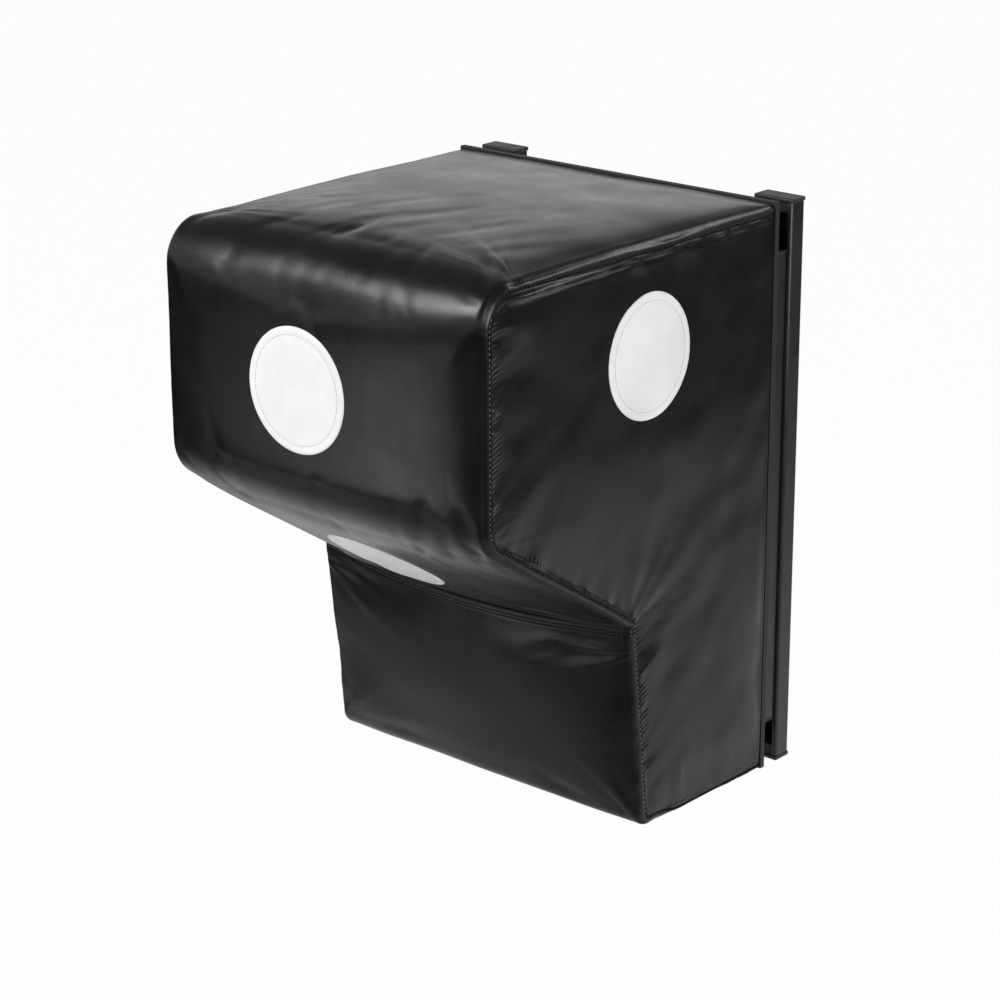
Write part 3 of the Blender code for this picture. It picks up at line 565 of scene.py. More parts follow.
def grid_sheet(name, columns, rows, place):
    """A sheet with a point for each column and row, put where place says."""
    bm = bmesh.new()
    bmesh.ops.create_grid(bm, x_segments=columns - 1, y_segments=rows - 1, size=0.5)
    mesh = finished(name, bm, smooth=True)
    flat = places_of(mesh)
    column = np.rint((flat[:, 0] + 0.5) * (columns - 1)).astype(int)
    row = np.rint((flat[:, 1] + 0.5) * (rows - 1)).astype(int)
    points, gap = place(column, row)
    put_places(mesh, points)
    for label, values in (("seam_gap", gap), ("grid_place", row * columns + column)):
        attribute = mesh.attributes.new(label, "FLOAT", "POINT")
        attribute.data.foreach_set("value", np.asarray(values, np.float32))
    return link(name, mesh)


def face_outwards(obj, outward):
    """Turns a sheet so that its faces look the given way on the whole."""
    total = sum((face.normal * face.area for face in obj.data.polygons), Vector())
    if total.dot(Vector(outward)) < 0:
        obj.data.flip_normals()
        obj.data.update()


def wrap_sheet(name, panel, step):
    """The sheet of a panel that runs from side seam to side seam."""
    edge = panel.edge.length
    flat = panel.sizes.half_width - panel.sizes.roll
    near_edge = flat - 0.04
    half = joined(evenly(0, near_edge, 0.006), evenly(near_edge, flat, 0.0025), evenly(flat, edge, 0.0011))
    across = joined(-half, half)
    inner = evenly(0.0135, panel.path.length - 0.0135, step)
    end = joined(np.array([0, 0.0004]), evenly(0.0009, 0.0126, 0.0009))
    along = joined(end, inner, panel.path.length - end)

    def place(column, row):
        gap = edge - np.abs(across[column])
        if panel.crease_end == "start":
            for stitches in CREASE_ROWS:
                gap = np.minimum(gap, np.abs(along[row] - stitches) * 2)
        return panel.at(across[column], along[row]), gap

    return grid_sheet(name, len(across), len(along), place)


def side_sheet(name, panel):
    """The sheet of a side panel: rows at equal heights, columns that follow the front seam."""
    low, top = panel.span
    heights = joined(
        low + np.array([0, 0.0003, 0.0008, 0.0015, 0.0025, 0.004]),
        evenly(low + 0.006, top - 0.020, 0.0013),
        evenly(top - 0.020, top - 0.005, 0.0012),
        top - np.array([0.004, 0.003, 0.002, 0.0012, 0.0006, 0.0002, 0]),
    )
    near = joined(np.array([0, 0.0002, 0.0006, 0.0012, 0.002, 0.003]), evenly(0.004, 0.050, 0.0018))
    share = joined(evenly(0, 0.975, 0.0135), evenly(0.975, 1, 0.004))
    columns = len(near) + len(share) - 1

    def place(column, row):
        z = heights[row]
        close = np.minimum(column, len(near) - 1)
        far = np.maximum(column - len(near) + 1, 0)
        y = panel.front(z) + near[close]
        y = np.where(column < len(near), y, y + (panel.rear - y) * share[far])
        points, _, gap = panel.at(y, z)
        return points, gap

    return grid_sheet(name, columns, len(heights), place)


def stuff(panels):
    """Lets the stuffing push coarse copies of the panels out, held by their seams, by cloth simulation."""
    scene = bpy.context.scene
    copies = []
    for name, (panel, outward) in panels.items():
        columns, rows, place = panel.coarse(COARSE_STEP)
        copy = grid_sheet("coarse_" + name, columns, rows, place)
        face_outwards(copy, outward)
        hold_by_seams(copy, columns, rows)
        copies.append((panel, copy, columns, rows))
    for frame in range(1, FRAMES + 1):
        scene.frame_set(frame)
    graph = bpy.context.evaluated_depsgraph_get()
    for panel, copy, columns, rows in copies:
        mesh = copy.data
        shift = places_of(copy.evaluated_get(graph).data) - places_of(mesh)
        shift = shift / (1 + np.linalg.norm(shift, axis=1, keepdims=True) / FURTHEST)
        field = np.empty((columns * rows, 3))
        field[values_of(mesh, "grid_place").astype(int)] = shift
        panel.stuffing = field.reshape(rows, columns, 3)
        bpy.data.objects.remove(copy)
        bpy.data.meshes.remove(mesh)
    scene.frame_set(1)


def hold_by_seams(copy, columns, rows):
    """Makes a sheet a cloth that its rim holds, with slack near its seams."""
    seams = copy.vertex_groups.new(name="seams")
    slack = copy.vertex_groups.new(name="slack")
    gap = values_of(copy.data, "seam_gap")
    order = values_of(copy.data, "grid_place").astype(int)
    column, row = order % columns, order // columns
    rim = (column == 0) | (column == columns - 1) | (row == 0) | (row == rows - 1)
    seams.add(np.nonzero(rim)[0].tolist(), 1.0, "REPLACE")
    for index in np.nonzero(gap < SLACK_REACH)[0].tolist():
        slack.add([index], float(smoothstep(1 - gap[index] / SLACK_REACH)), "REPLACE")
    cloth = copy.modifiers.new("Cloth", "CLOTH")
    cloth.point_cache.frame_start = 1
    cloth.point_cache.frame_end = FRAMES
    for key, value in CLOTH.items():
        setattr(cloth.settings, key, value)
    cloth.settings.effector_weights.gravity = 0
    cloth.settings.vertex_group_mass = "seams"
    cloth.settings.vertex_group_shrink = "slack"
    cloth.settings.shrink_min = 0.0
    cloth.settings.shrink_max = -SLACK


def dress(obj, body, slot, material, *nodes):
    """Gives a finished piece its material, its body and the nodes that it stands for."""
    obj.data.materials.clear()
    obj.data.materials.append(material)
    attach(obj, body)
    if nodes:
        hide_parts(*nodes)


# Folds of each panel


def band_folds(across, run, gap):
    """Creases where the top turns over the front edge, and fans in the corners of the underside."""
    length = SURFACES["band"].path.length
    turn = length * 0.42  # where the top turns over the front edge
    detail = 0.28 * gathers(run, gap, seed=3, slant=0.2) + 0.0012 * patchy(across / 0.12, run / 0.10, 5)
    on_top = grown(run, 0.20, 0.12) * smoothstep((turn - run) / 0.05)
    detail = detail + on_top * 0.0005 * patchy((across + 0.3 * run) / 0.018, run / 0.08, 6)
    detail = detail + on_top * 0.0006 * patchy((across + 0.5 * run) / 0.028, run / 0.12, 7)
    for side in (-1, 1):
        inwards = math.pi / 2 * (1 + side)
        detail = detail + fan(
            across, run, apex=(side * 0.262, length + 0.002), heading=inwards + side * 0.26, spread=0.45,
            reach=0.32, width=0.10, height=0.0130, seed=8 + side,
        )
        detail = detail + fan(
            across, run, apex=(side * 0.258, turn + 0.01), heading=inwards + side * 0.55, spread=0.75,
            reach=0.34, width=0.085, height=0.0013, seed=18 + side,
        )
    return detail


def lower_folds(across, run, gap):
    """Folds that leave the side seams just below the crease, and the channels of its two stitch rows."""
    detail = 0.45 * gathers(run, gap, seed=33, slant=-0.25) + 0.0013 * patchy(across / 0.10, run / 0.08, 35)
    for row in CREASE_ROWS:
        detail = detail - CHANNEL_DEPTH * np.exp(-(((run - row) / CHANNEL_WIDTH) ** 2))
    for side in (-1, 1):
        inwards = math.pi / 2 * (1 + side)
        detail = detail + fan(
            across, run, apex=(side * 0.262, 0.030), heading=inwards - side * 0.22, spread=0.55,
            reach=0.22, width=0.20, height=0.0030, seed=38 + side,
        )
    return detail


def bottom_folds(across, run, gap):
    """Slight puckers along the bottom's seams."""
    return 0.4 * gathers(run, gap, seed=53, slant=0.2) + 0.0005 * patchy(across / 0.08, run / 0.08, 55)


def side_folds(seed):
    """The folds of one side panel."""

    def folds(y, z, near, behind):
        """Gathers along the seam, the fold under the top seam, and slack that runs out of the crease."""
        front, top = -0.578, 0.717  # the panel's upper front corner
        detail = sum(share * gathers(run, gap, seed) for share, run, gap in near)
        detail = detail + 0.0020 * patchy(y / 0.13, z / 0.12, seed + 3)
        detail = detail + 0.0008 * patchy((y + z) / 0.07, (z - y) / 0.05, seed + 7)
        detail = detail + 0.0022 * patchy(z / 0.06, behind / 0.08, seed + 4) * np.exp(-behind / 0.035)
        fade = 1 - 0.75 * grown(y, front, 0.42)
        along_top = np.exp(-(((top - z - 0.0095) / 0.0045) ** 2)) * smoothstep((y - front - 0.020) / 0.03)
        detail = detail + 0.0034 * fade * along_top
        detail = detail + fan(
            y, z, apex=(-0.342, 0.262), heading=0.85, spread=1.0, reach=0.28, width=0.24,
            height=0.0032, seed=seed + 5,
        )
        detail = detail + fan(
            y, z, apex=(front - 0.020, top - 0.020), heading=-0.30, spread=0.6, reach=0.26, width=0.30,
            height=0.0016, seed=seed + 6,
        )
        return detail

    return folds


# Materials


def feed(tree, socket, value):
    """Gives an input a plain value or another node's output."""
    if isinstance(value, bpy.types.NodeSocket):
        tree.links.new(value, socket)
    else:
        socket.default_value = value


def add_node(tree, kind, **settings):
    """A shader node with its settings, and with what its inputs are fed."""
    made = tree.nodes.new(kind)
    for key, value in settings.items():
        if hasattr(made, key):
            setattr(made, key, value)
        else:
            feed(tree, made.inputs[key.replace("_", " ")], value)
    return made


def new_material(name, colour, roughness, ior=1.45, metallic=0.0):
    """A material, its tree, its shader and the place on the piece."""
    material = bpy.data.materials.new(name)
    material.use_nodes = True
    tree = material.node_tree
    shader = tree.nodes["Principled BSDF"]
    shader.inputs["Base Color"].default_value = colour
    shader.inputs["Roughness"].default_value = roughness
    shader.inputs["IOR"].default_value = ior
    shader.inputs["Metallic"].default_value = metallic
    return material, tree, shader, add_node(tree, "ShaderNodeTexCoord").outputs["Object"]


def add_noise(tree, place, scale, detail=3.0, roughness=0.5):
    """Cloudy noise of the given scale."""
    settings = {"Vector": place, "Scale": scale, "Detail": detail, "Roughness": roughness}
    return add_node(tree, "ShaderNodeTexNoise", **settings).outputs["Fac"]


def add_bump(tree, shader, height, distance, strength=1.0, under=None):
    """A bump of the given depth, on top of another one."""
    bump = add_node(tree, "ShaderNodeBump", Strength=strength, Distance=distance, Height=height)
    if under is not None:
        tree.links.new(under, bump.inputs["Normal"])
    tree.links.new(bump.outputs["Normal"], shader.inputs["Normal"])
    return bump.outputs["Normal"]


def arithmetic(tree, operation, *values):
    """The result of an operation on plain values and other nodes' outputs."""
    made = add_node(tree, "ShaderNodeMath", operation=operation)
    for socket, value in zip(made.inputs, values):
        feed(tree, socket, value)
    return made.outputs[0]


def ranged(tree, value, start, end, low, high):
    """Low where the value is at start, high where it is at end, and in between where it lies between."""
    limits = {"From_Min": start, "From_Max": end, "To_Min": low, "To_Max": high}
    return add_node(tree, "ShaderNodeMapRange", Value=value, **limits).outputs["Result"]


def mottle(tree, shader, cloud, colour, low, high, roughness=None):
    """Lets the colour, and the roughness if its two ends are given, wander as a cloudy value does."""
    mix = add_node(tree, "ShaderNodeMix", data_type="RGBA")
    mix.inputs[6].default_value = [c * low for c in colour[:3]] + [1]
    mix.inputs[7].default_value = [min(1.0, c * high) for c in colour[:3]] + [1]
    tree.links.new(cloud, mix.inputs[0])
    tree.links.new(mix.outputs[2], shader.inputs["Base Color"])
    if roughness:
        tree.links.new(ranged(tree, cloud, *CLOUD_SPREAD, *roughness), shader.inputs["Roughness"])


def leatherette(name, colour, roughness, ior, pores=0.0004, shaded_seams=False):
    """Embossed leatherette: pores, soft dents, a sheen that wanders, and painted shade in the groove where it
    turns into a seam, by a dimmed reflection.
    """
    material, tree, shader, place = new_material(name, colour, roughness, ior)
    cell = add_node(
        tree, "ShaderNodeTexVoronoi", feature="SMOOTH_F1", Vector=place, Scale=760, Smoothness=0.6
    )
    normal = add_bump(tree, shader, add_noise(tree, place, 60, 3, 0.45), 0.0004, 0.30)
    add_bump(tree, shader, cell.outputs["Distance"], pores, 0.12, normal)
    cloud = add_noise(tree, place, 11, 5, 0.6)
    mottle(tree, shader, cloud, colour, 0.8, 1.2, (roughness - 0.06, roughness + 0.06))
    if shaded_seams:
        # painted shade: the reflection is dimmed in the groove where the leatherette turns into a seam
        gap = add_node(tree, "ShaderNodeAttribute", attribute_name="seam_gap").outputs["Fac"]
        painted_seam_shade = ranged(tree, gap, 0.0006, 0.0040, 0.03, 0.5)
        tree.links.new(painted_seam_shade, shader.inputs["Specular IOR Level"])
    return material


def painted_steel(name, colour):
    """Powder coat: an orange-peel skin with a fine grain."""
    material, tree, shader, place = new_material(name, colour, 0.36)
    normal = add_bump(tree, shader, add_noise(tree, place, 300, 2), 0.0002, 0.6)
    add_bump(tree, shader, add_noise(tree, place, 1400, 2), 0.00005, 0.6, normal)
    mottle(tree, shader, add_noise(tree, place, 30, 5), colour, 0.8, 1.25, (0.30, 0.44))
    return material


def moulded_plastic(name, colour, roughness=0.5):
    """Moulded plastic with a spark-eroded texture."""
    material, tree, shader, place = new_material(name, colour, roughness)
    add_bump(tree, shader, add_noise(tree, place, 900, 3), 0.0001, 0.7)
    cloud = add_noise(tree, place, 60, 3)
    mottle(tree, shader, cloud, colour, 0.85, 1.15, (roughness - 0.05, roughness + 0.05))
    return material


def zinc_plate(name, colour):
    """Zinc plate with a cloudy passivated skin."""
    material, tree, shader, place = new_material(name, colour, 0.35, metallic=1.0)
    mottle(tree, shader, add_noise(tree, place, 240, 4), colour, 0.85, 1.1, (0.26, 0.42))
    add_bump(tree, shader, add_noise(tree, place, 1200, 2), 0.00004, 0.5)
    return material


def wood_board(name, colour, grain):
    """Board with a grain that runs up it."""
    material, tree, shader, place = new_material(name, colour, 0.6)
    drawn_out = add_node(tree, "ShaderNodeMapping", Vector=place, Scale=(1, 1, 0.06))
    streak = add_noise(tree, drawn_out.outputs["Vector"], 140, 5, 0.65)
    mottle(tree, shader, streak, colour, 1 - grain, 1 + grain)
    add_bump(tree, shader, streak, 0.0003, 0.6)
    return material


def open_foam(name, colour):
    """Open-cell foam."""
    material, tree, shader, place = new_material(name, colour, 0.95)
    cell = add_node(tree, "ShaderNodeTexVoronoi", feature="F1", Vector=place, Scale=520)
    add_bump(tree, shader, cell.outputs["Distance"], 0.0012, 0.8)
    mottle(tree, shader, add_noise(tree, place, 160, 3), colour, 0.8, 1.2)
    return material


def sewing_thread(name, colour):
    """Twisted thread."""
    material, tree, shader, place = new_material(name, colour, 0.55)
    add_bump(tree, shader, add_noise(tree, place, 1500, 2), 0.0002, 0.8)
    mottle(tree, shader, add_noise(tree, place, 400, 2), colour, 0.7, 1.3)
    return material


# Properties


def length_property(name, description, default, low, high):
    """A length in metres, between two limits."""
    return FloatProperty(
        name=name, description=description, default=default, min=low, max=high, unit="LENGTH", precision=4
    )


def colour_property(name, description, *colour):
    """A colour, from its red, green and blue."""
    return FloatVectorProperty(
        name=name, description=description, subtype="COLOR", size=4, default=(*colour, 1), min=0, max=1
    )


class WallPadSizes(bpy.types.PropertyGroup):
    """Sizes of the pad and its sewing"""

    board_rear: length_property("Board rear", "Place of the back board's rear face", -0.0576, -0.2, 0)
    board_thickness: length_property("Board", "Thickness of the back board with its gap", 0.0083, 0.004, 0.03)
    depth: length_property("Depth", "From the board's rear to the striking face", 0.530, 0.3, 0.8)
    height: length_property("Height", "Height of the stuffed pad", 0.726, 0.4, 1.0)
    half_width: length_property("Half width", "From the middle to a panel's rolled edge", 0.2492, 0.1, 0.4)
    strike_height: length_property("Striking height", "Height of the striking face", 0.296, 0.1, 0.6)
    overhang: length_property("Overhang", "From the striking face back to the crease", 0.254, 0.05, 0.5)
    underside_drop: length_property("Underside drop", "From the face down to the crease", 0.163, 0, 0.4)
    lower_lean: length_property("Lower lean", "How far the lower face leans back", 0.027, 0, 0.1)
    corner_radius: length_property("Corner radius", "Rounding of the face's corners", 0.050, 0.01, 0.1)
    foot_radius: length_property("Foot radius", "Rounding of the lower front corner", 0.020, 0.005, 0.06)
    foot_lap: length_property("Foot lap", "How far the lower panel runs past that corner", 0.012, 0.002, 0.05)
    crown: length_property("Crown", "How far a face swells between its seams", 0.010, 0, 0.03)
    crease_crown: length_property("Crease crown", "How far the panels hang over the crease", 0.023, 0, 0.05)
    roll: length_property("Roll", "Radius of a panel's edge towards the side seam", 0.0085, 0.002, 0.02)
    curl: length_property("Curl", "Radius with which leatherette turns into a seam", 0.0024, 0.0005, 0.006)
    disc_radius: length_property("Disc radius", "Radius of a target disc", 0.075, 0.03, 0.12)
    stitch_pitch: length_property("Stitch pitch", "From one seam stitch to the next", 0.0062, 0.003, 0.01)
    band_disc_across: length_property("Band discs", "How far right of the middle they lie", -0.018, -0.1, 0.1)
    front_disc_drop: length_property("Front disc drop", "From the top down to its middle", 0.158, 0.08, 0.25)
    underside_disc_reach: length_property("Underside disc", "From the face to its middle", 0.162, 0.08, 0.25)
    side_disc_back: length_property("Side disc back", "From the face back to its middle", 0.281, 0.1, 0.45)
    side_disc_drop: length_property("Side disc drop", "From the top down to its middle", 0.133, 0.08, 0.25)


class WallPadFinish(bpy.types.PropertyGroup):
    """Colours of the pad"""

    cover: colour_property("Cover", "Colour of the leatherette", 0.005, 0.005, 0.0053)
    disc: colour_property("Discs", "Colour of the target discs", 0.74, 0.74, 0.735)
    pale_thread: colour_property("Pale thread", "Colour of the thread in the upright seams", 0.09, 0.09, 0.09)
    dark_thread: colour_property("Dark thread", "Colour of the other seams' thread", 0.012, 0.012, 0.012)
    disc_thread: colour_property("Disc thread", "Colour of the discs' thread", 0.42, 0.42, 0.42)
    steel: colour_property("Rails", "Colour of the rails' powder coat", 0.012, 0.012, 0.013)
    plastic: colour_property("Caps", "Colour of the plastic caps", 0.016, 0.016, 0.017)
    board: colour_property("Board", "Colour of the back board", 0.012, 0.012, 0.012)


# Operators


class PUNCHPAD_OT_stage(bpy.types.Operator):
    """Adds the camera, the floor, the room and the lamps"""

    bl_idname = "punchpad.stage"
    bl_label = "Stage"

    def execute(self, context):
        add_camera(context)
        add_floor()
        add_room(context)
        add_lamps(context)
        context.scene.view_settings.view_transform = "Standard"
        return {"FINISHED"}


def add_camera(context):
    """A camera at the photograph's viewing angle."""
    yaw, pitch, roll = 0.7186, 0.3313, -0.0038
    forward = Vector((-math.sin(yaw) * math.cos(pitch), math.cos(yaw) * math.cos(pitch), -math.sin(pitch)))
    data = bpy.data.cameras.new("photo_camera")
    data.sensor_width = 36
    data.lens = 104.04
    data.clip_end = 100
    camera = bpy.data.objects.new("photo_camera", data)
    context.scene.collection.objects.link(camera)
    camera.location = (2.20285, -2.79543, 1.50703)
    camera.rotation_mode = "QUATERNION"
    level = forward.to_track_quat("-Z", "Y")
    camera.rotation_quaternion = level @ Matrix.Rotation(roll, 3, "Z").to_quaternion()
    context.scene.camera = camera


def floor_shade(tree, place):
    """How bright gloss sees the floor's glow: full round the pad, with a painted shadow under it and painted
    shade farther out, left and in front.
    """
    along = add_node(tree, "ShaderNodeSeparateXYZ", Vector=place).outputs
    bright = 1.0
    for where, *fade in PAINTED_FLOOR_SHADE:
        if isinstance(where, str):
            reach = along[where]
        else:
            away = add_node(tree, "ShaderNodeVectorMath", operation="DISTANCE")
            feed(tree, away.inputs[0], place)
            feed(tree, away.inputs[1], where)
            reach = away.outputs["Value"]
        bright = arithmetic(tree, "MULTIPLY", bright, ranged(tree, reach, *fade))
    return bright


def add_floor():
    """A pale floor about as far below the pad as it hangs in use: it glows white to the camera, and to gloss
    it glows with painted shade.
    """
    bm = bmesh.new()
    bmesh.ops.create_grid(bm, x_segments=1, y_segments=1, size=30)
    bmesh.ops.translate(bm, verts=bm.verts, vec=(0, 0, -FLOOR_DROP))
    floor = link("floor", finished("floor", bm))
    material, tree, shader, place = new_material("pale_floor", (0.85, 0.85, 0.85, 1), 0.95, 1.5)
    rays = add_node(tree, "ShaderNodeLightPath").outputs
    strength = add_node(tree, "ShaderNodeMix", data_type="FLOAT")
    feed(tree, strength.inputs[0], rays["Is Glossy Ray"])
    feed(tree, strength.inputs[2], 1.0)
    # gloss sees the glow with painted shade: a painted shadow under the pad and painted falloff away from it
    feed(tree, strength.inputs[3], floor_shade(tree, place))
    white = add_node(tree, "ShaderNodeEmission", Strength=strength.outputs[0])
    seen = arithmetic(tree, "MAXIMUM", rays["Is Camera Ray"], rays["Is Transmission Ray"])
    share = arithmetic(tree, "MULTIPLY_ADD", seen, 0.97, rays["Is Glossy Ray"])
    mix = add_node(tree, "ShaderNodeMixShader", Fac=share)
    tree.links.new(shader.outputs["BSDF"], mix.inputs[1])
    tree.links.new(white.outputs["Emission"], mix.inputs[2])
    tree.links.new(mix.outputs["Shader"], tree.nodes["Material Output"].inputs["Surface"])
    floor.data.materials.append(material)


def add_room(context):
    """A room with pale walls and a darker ceiling."""
    world = bpy.data.worlds.new("studio")
    world.use_nodes = True
    tree = world.node_tree
    heading = add_node(tree, "ShaderNodeTexCoord").outputs["Generated"]
    up = add_node(tree, "ShaderNodeSeparateXYZ", Vector=heading).outputs["Z"]
    ramp = add_node(tree, "ShaderNodeValToRGB", Fac=up)
    for element, (height, colour) in zip(ramp.color_ramp.elements, ROOM_SHADES):
        element.position = height
        element.color = colour
    tree.links.new(ramp.outputs["Color"], tree.nodes["Background"].inputs["Color"])
    context.scene.world = world


def add_lamps(context):
    """Soft boxes: the key from the front left above, two from behind, and one each for face and side."""
    lamps = (
        ("key", (-1.4, -2.7, 2.5), (0.0, -0.45, 0.40), 1.3, 86),
        ("rear", (1.2, 2.2, 2.5), (0.05, -0.30, 0.60), 0.9, 18),
        ("rear_left", (-2.4, 2.4, 1.75), (0.0, -0.30, 0.72), 1.9, 4),
        ("face", (-1.50, -2.75, -0.55), (0.0, -0.58, 0.50), 1.0, 9),
        ("right", (3.2, -1.3, 1.3), (0.1, -0.30, 0.40), 1.5, 64),
    )
    for name, place, aim, size, power in lamps:
        data = bpy.data.lights.new(name, "AREA")
        data.shape = "SQUARE"
        data.size = size
        data.energy = power
        lamp = bpy.data.objects.new(name, data)
        context.scene.collection.objects.link(lamp)
        lamp.visible_camera = False
        lamp.location = place
        lamp.rotation_mode = "QUATERNION"
        lamp.rotation_quaternion = (Vector(aim) - Vector(place)).to_track_quat("-Z", "Y")


class PUNCHPAD_OT_cover(bpy.types.Operator):
    """Sews the leatherette cover"""

    bl_idname = "punchpad.cover"
    bl_label = "Cover"

    def execute(self, context):
        sizes = context.scene.punchpad_sizes
        finish = context.scene.punchpad_finish
        # the cover gets painted shade in the grooves of its seams
        leather = leatherette("black_leatherette", list(finish.cover), 0.30, 1.38, shaded_seams=True)
        band = WrapPanel(sizes, band_path(sizes), band_folds, "end", (0.004, 0.0015), (0.006, 0.005))
        lower = WrapPanel(
            sizes, lower_path(sizes), lower_folds, "start", (0.004, 0.0035), (0.003, 0.002), settling=0.075
        )
        bottom = WrapPanel(
            sizes, bottom_path(sizes), bottom_folds, None, (0.003, 0.002), (0.004, 0.002), flattened=0.75
        )
        SURFACES.update({"band": band, "lower": lower, "bottom": bottom})
        for side in SIDES:
            seam = Path(np.concatenate([panel.seam(side) for panel in (band, lower, bottom)]))
            SURFACES[side] = SidePanel(sizes, side, seam, side_folds(63 + 10 * SIDES[side]))
        forward, down = (0, -1, 0), (0, 0, -1)
        stuff({
            "band": (band, forward), "lower": (lower, forward), "bottom": (bottom, down),
            "left": (SURFACES["left"], (-1, 0, 0)), "right": (SURFACES["right"], (1, 0, 0)),
        })
        made = [
            (wrap_sheet("cover_band", band, 0.0020), forward, ("vinyl_band", "band_facing_foam")),
            (wrap_sheet("cover_lower", lower, 0.0024), forward, ("vinyl_lower_panel", "lower_facing_foam")),
            (wrap_sheet("cover_bottom", bottom, 0.004), down, ("vinyl_bottom_panel",)),
        ]
        for side in SIDES:
            nodes = ("vinyl_side_" + side, "side_facing_foam_" + side)
            made.append((side_sheet("cover_side_" + side, SURFACES[side]), (SIDES[side], 0, 0), nodes))
        for sheet, outward, nodes in made:
            face_outwards(sheet, outward)
            dress(sheet, PAD, "black_vinyl", leather, *nodes)
        return {"FINISHED"}


class PUNCHPAD_OT_discs(bpy.types.Operator):
    """Sews the target discs on the cover"""

    bl_idname = "punchpad.discs"
    bl_label = "Target discs"

    def execute(self, context):
        sizes = context.scene.punchpad_sizes
        finish = context.scene.punchpad_finish
        white = leatherette("white_leatherette", list(finish.disc), 0.45, 1.4, 0.0002)
        thread = sewing_thread("disc_thread", list(finish.disc_thread))
        for name, surface in disc_places(sizes).items():
            disc = disc_sheet("disc_" + name, sizes.disc_radius, surface)
            dress(disc, PAD, "white_vinyl", white, "target_disc_" + name)
            rows = stitch_ring("disc_stitches_" + name, sizes, surface)
            dress(rows, PAD, "white_vinyl", thread)
        return {"FINISHED"}


def disc_places(sizes):
    """For each disc, a function that puts (right, up) on the cover."""
    band = SURFACES["band"]
    corners = outline_corners(sizes)
    runs = np.linspace(0, band.path.length, 4000)
    outline = band.path.at(runs)
    strike = runs[np.argmin(np.abs(outline[:, 1] - (sizes.height - sizes.front_disc_drop)))]
    under = (corners[3] - corners[2]) / np.linalg.norm(corners[3] - corners[2])
    middle = corners[2] + under * sizes.underside_disc_reach
    beneath = runs[np.argmin(np.linalg.norm(outline - middle, axis=1))]

    def on_band(run):
        def surface(right, up):
            return band.at(sizes.band_disc_across + right, run - up)

        return surface

    def on_side(side):
        def surface(right, up):
            y = corners[1][0] + sizes.side_disc_back + right
            return SURFACES[side].at(y, sizes.height - sizes.side_disc_drop + up)[0]

        return surface

    return {
        "front": on_band(strike), "underside": on_band(beneath),
        "left": on_side("left"), "right": on_side("right"),
    }


def lay_on(surface, right, up, out):
    """Points a little way out of a surface, and the surface's three directions there."""
    reach = DIRECTION_REACH
    point = surface(right, up)
    along = surface(right + reach, up) - surface(right - reach, up)
    over = surface(right, up + reach) - surface(right, up - reach)
    along /= np.linalg.norm(along, axis=1, keepdims=True)
    normal = np.cross(along, over)
    normal /= np.linalg.norm(normal, axis=1, keepdims=True)
    if np.mean((point - PAD_MIDDLE) * normal) < 0:
        normal = -normal
    return point + normal * np.asarray(out)[:, None], along, np.cross(normal, along), normal


def disc_sheet(name, radius, surface):
    """A round patch whose edge is turned down, with a shallow channel under its stitches."""
    fine = []
    for (first, low), (second, high) in zip(DISC_PROFILE, DISC_PROFILE[1:]):
        steps = max(1, int(round((second - first) * radius / 0.0035)))
        fine += [(first + (second - first) * k / steps, low + (high - low) * k / steps) for k in range(steps)]
    fine.append(DISC_PROFILE[-1])
    bm = bmesh.new()
    line = [bm.verts.new((share * radius, 0, out)) for share, out in fine]
    edges = [bm.edges.new(pair) for pair in zip(line, line[1:])]
    bmesh.ops.spin(
        bm, geom=line + edges, axis=(0, 0, 1), cent=(0, 0, 0), steps=128, angle=2 * math.pi, use_merge=True
    )
    bmesh.ops.remove_doubles(bm, verts=bm.verts, dist=1e-6)
    bmesh.ops.recalc_face_normals(bm, faces=bm.faces)
    mesh = finished(name, bm, smooth=True)
    flat = places_of(mesh)
    points, _, _, normal = lay_on(surface, flat[:, 0], flat[:, 1], flat[:, 2])
    put_places(mesh, points)
    disc = link(name, mesh)
    face_outwards(disc, normal[0])
    return disc


def stitch_row(name, centres, along, normal, length, width):
    """Stitches at the given places: small beads pulled into the leatherette."""
    on_end = Matrix.Rotation(math.pi / 2, 4, "Y")
    bm = bmesh.new()
    for centre, way, out in zip(centres, along, normal):
        side = np.cross(out, way)
        turn = Matrix(np.stack([way * length, side * width, out * width], axis=1).tolist()).to_4x4()
        turn.translation = Vector(centre)
        bmesh.ops.create_uvsphere(bm, u_segments=6, v_segments=5, radius=0.5, matrix=turn @ on_end)
    bmesh.ops.recalc_face_normals(bm, faces=bm.faces)
    return link(name, finished(name, bm, smooth=True))


def stitch_ring(name, sizes, surface):
    """The ring of stitches that holds a disc."""
    radius = DISC_CHANNEL * sizes.disc_radius
    count = int(round(2 * math.pi * radius / DISC_PITCH))
    turn = np.linspace(0, 2 * math.pi, count, endpoint=False)
    right, up = radius * np.cos(turn), radius * np.sin(turn)
    points, along, over, normal = lay_on(surface, right, up, np.full(count, 0.0012))
    way = -np.sin(turn)[:, None] * along + np.cos(turn)[:, None] * over
    return stitch_row(name, points, way, normal, *DISC_STITCH)


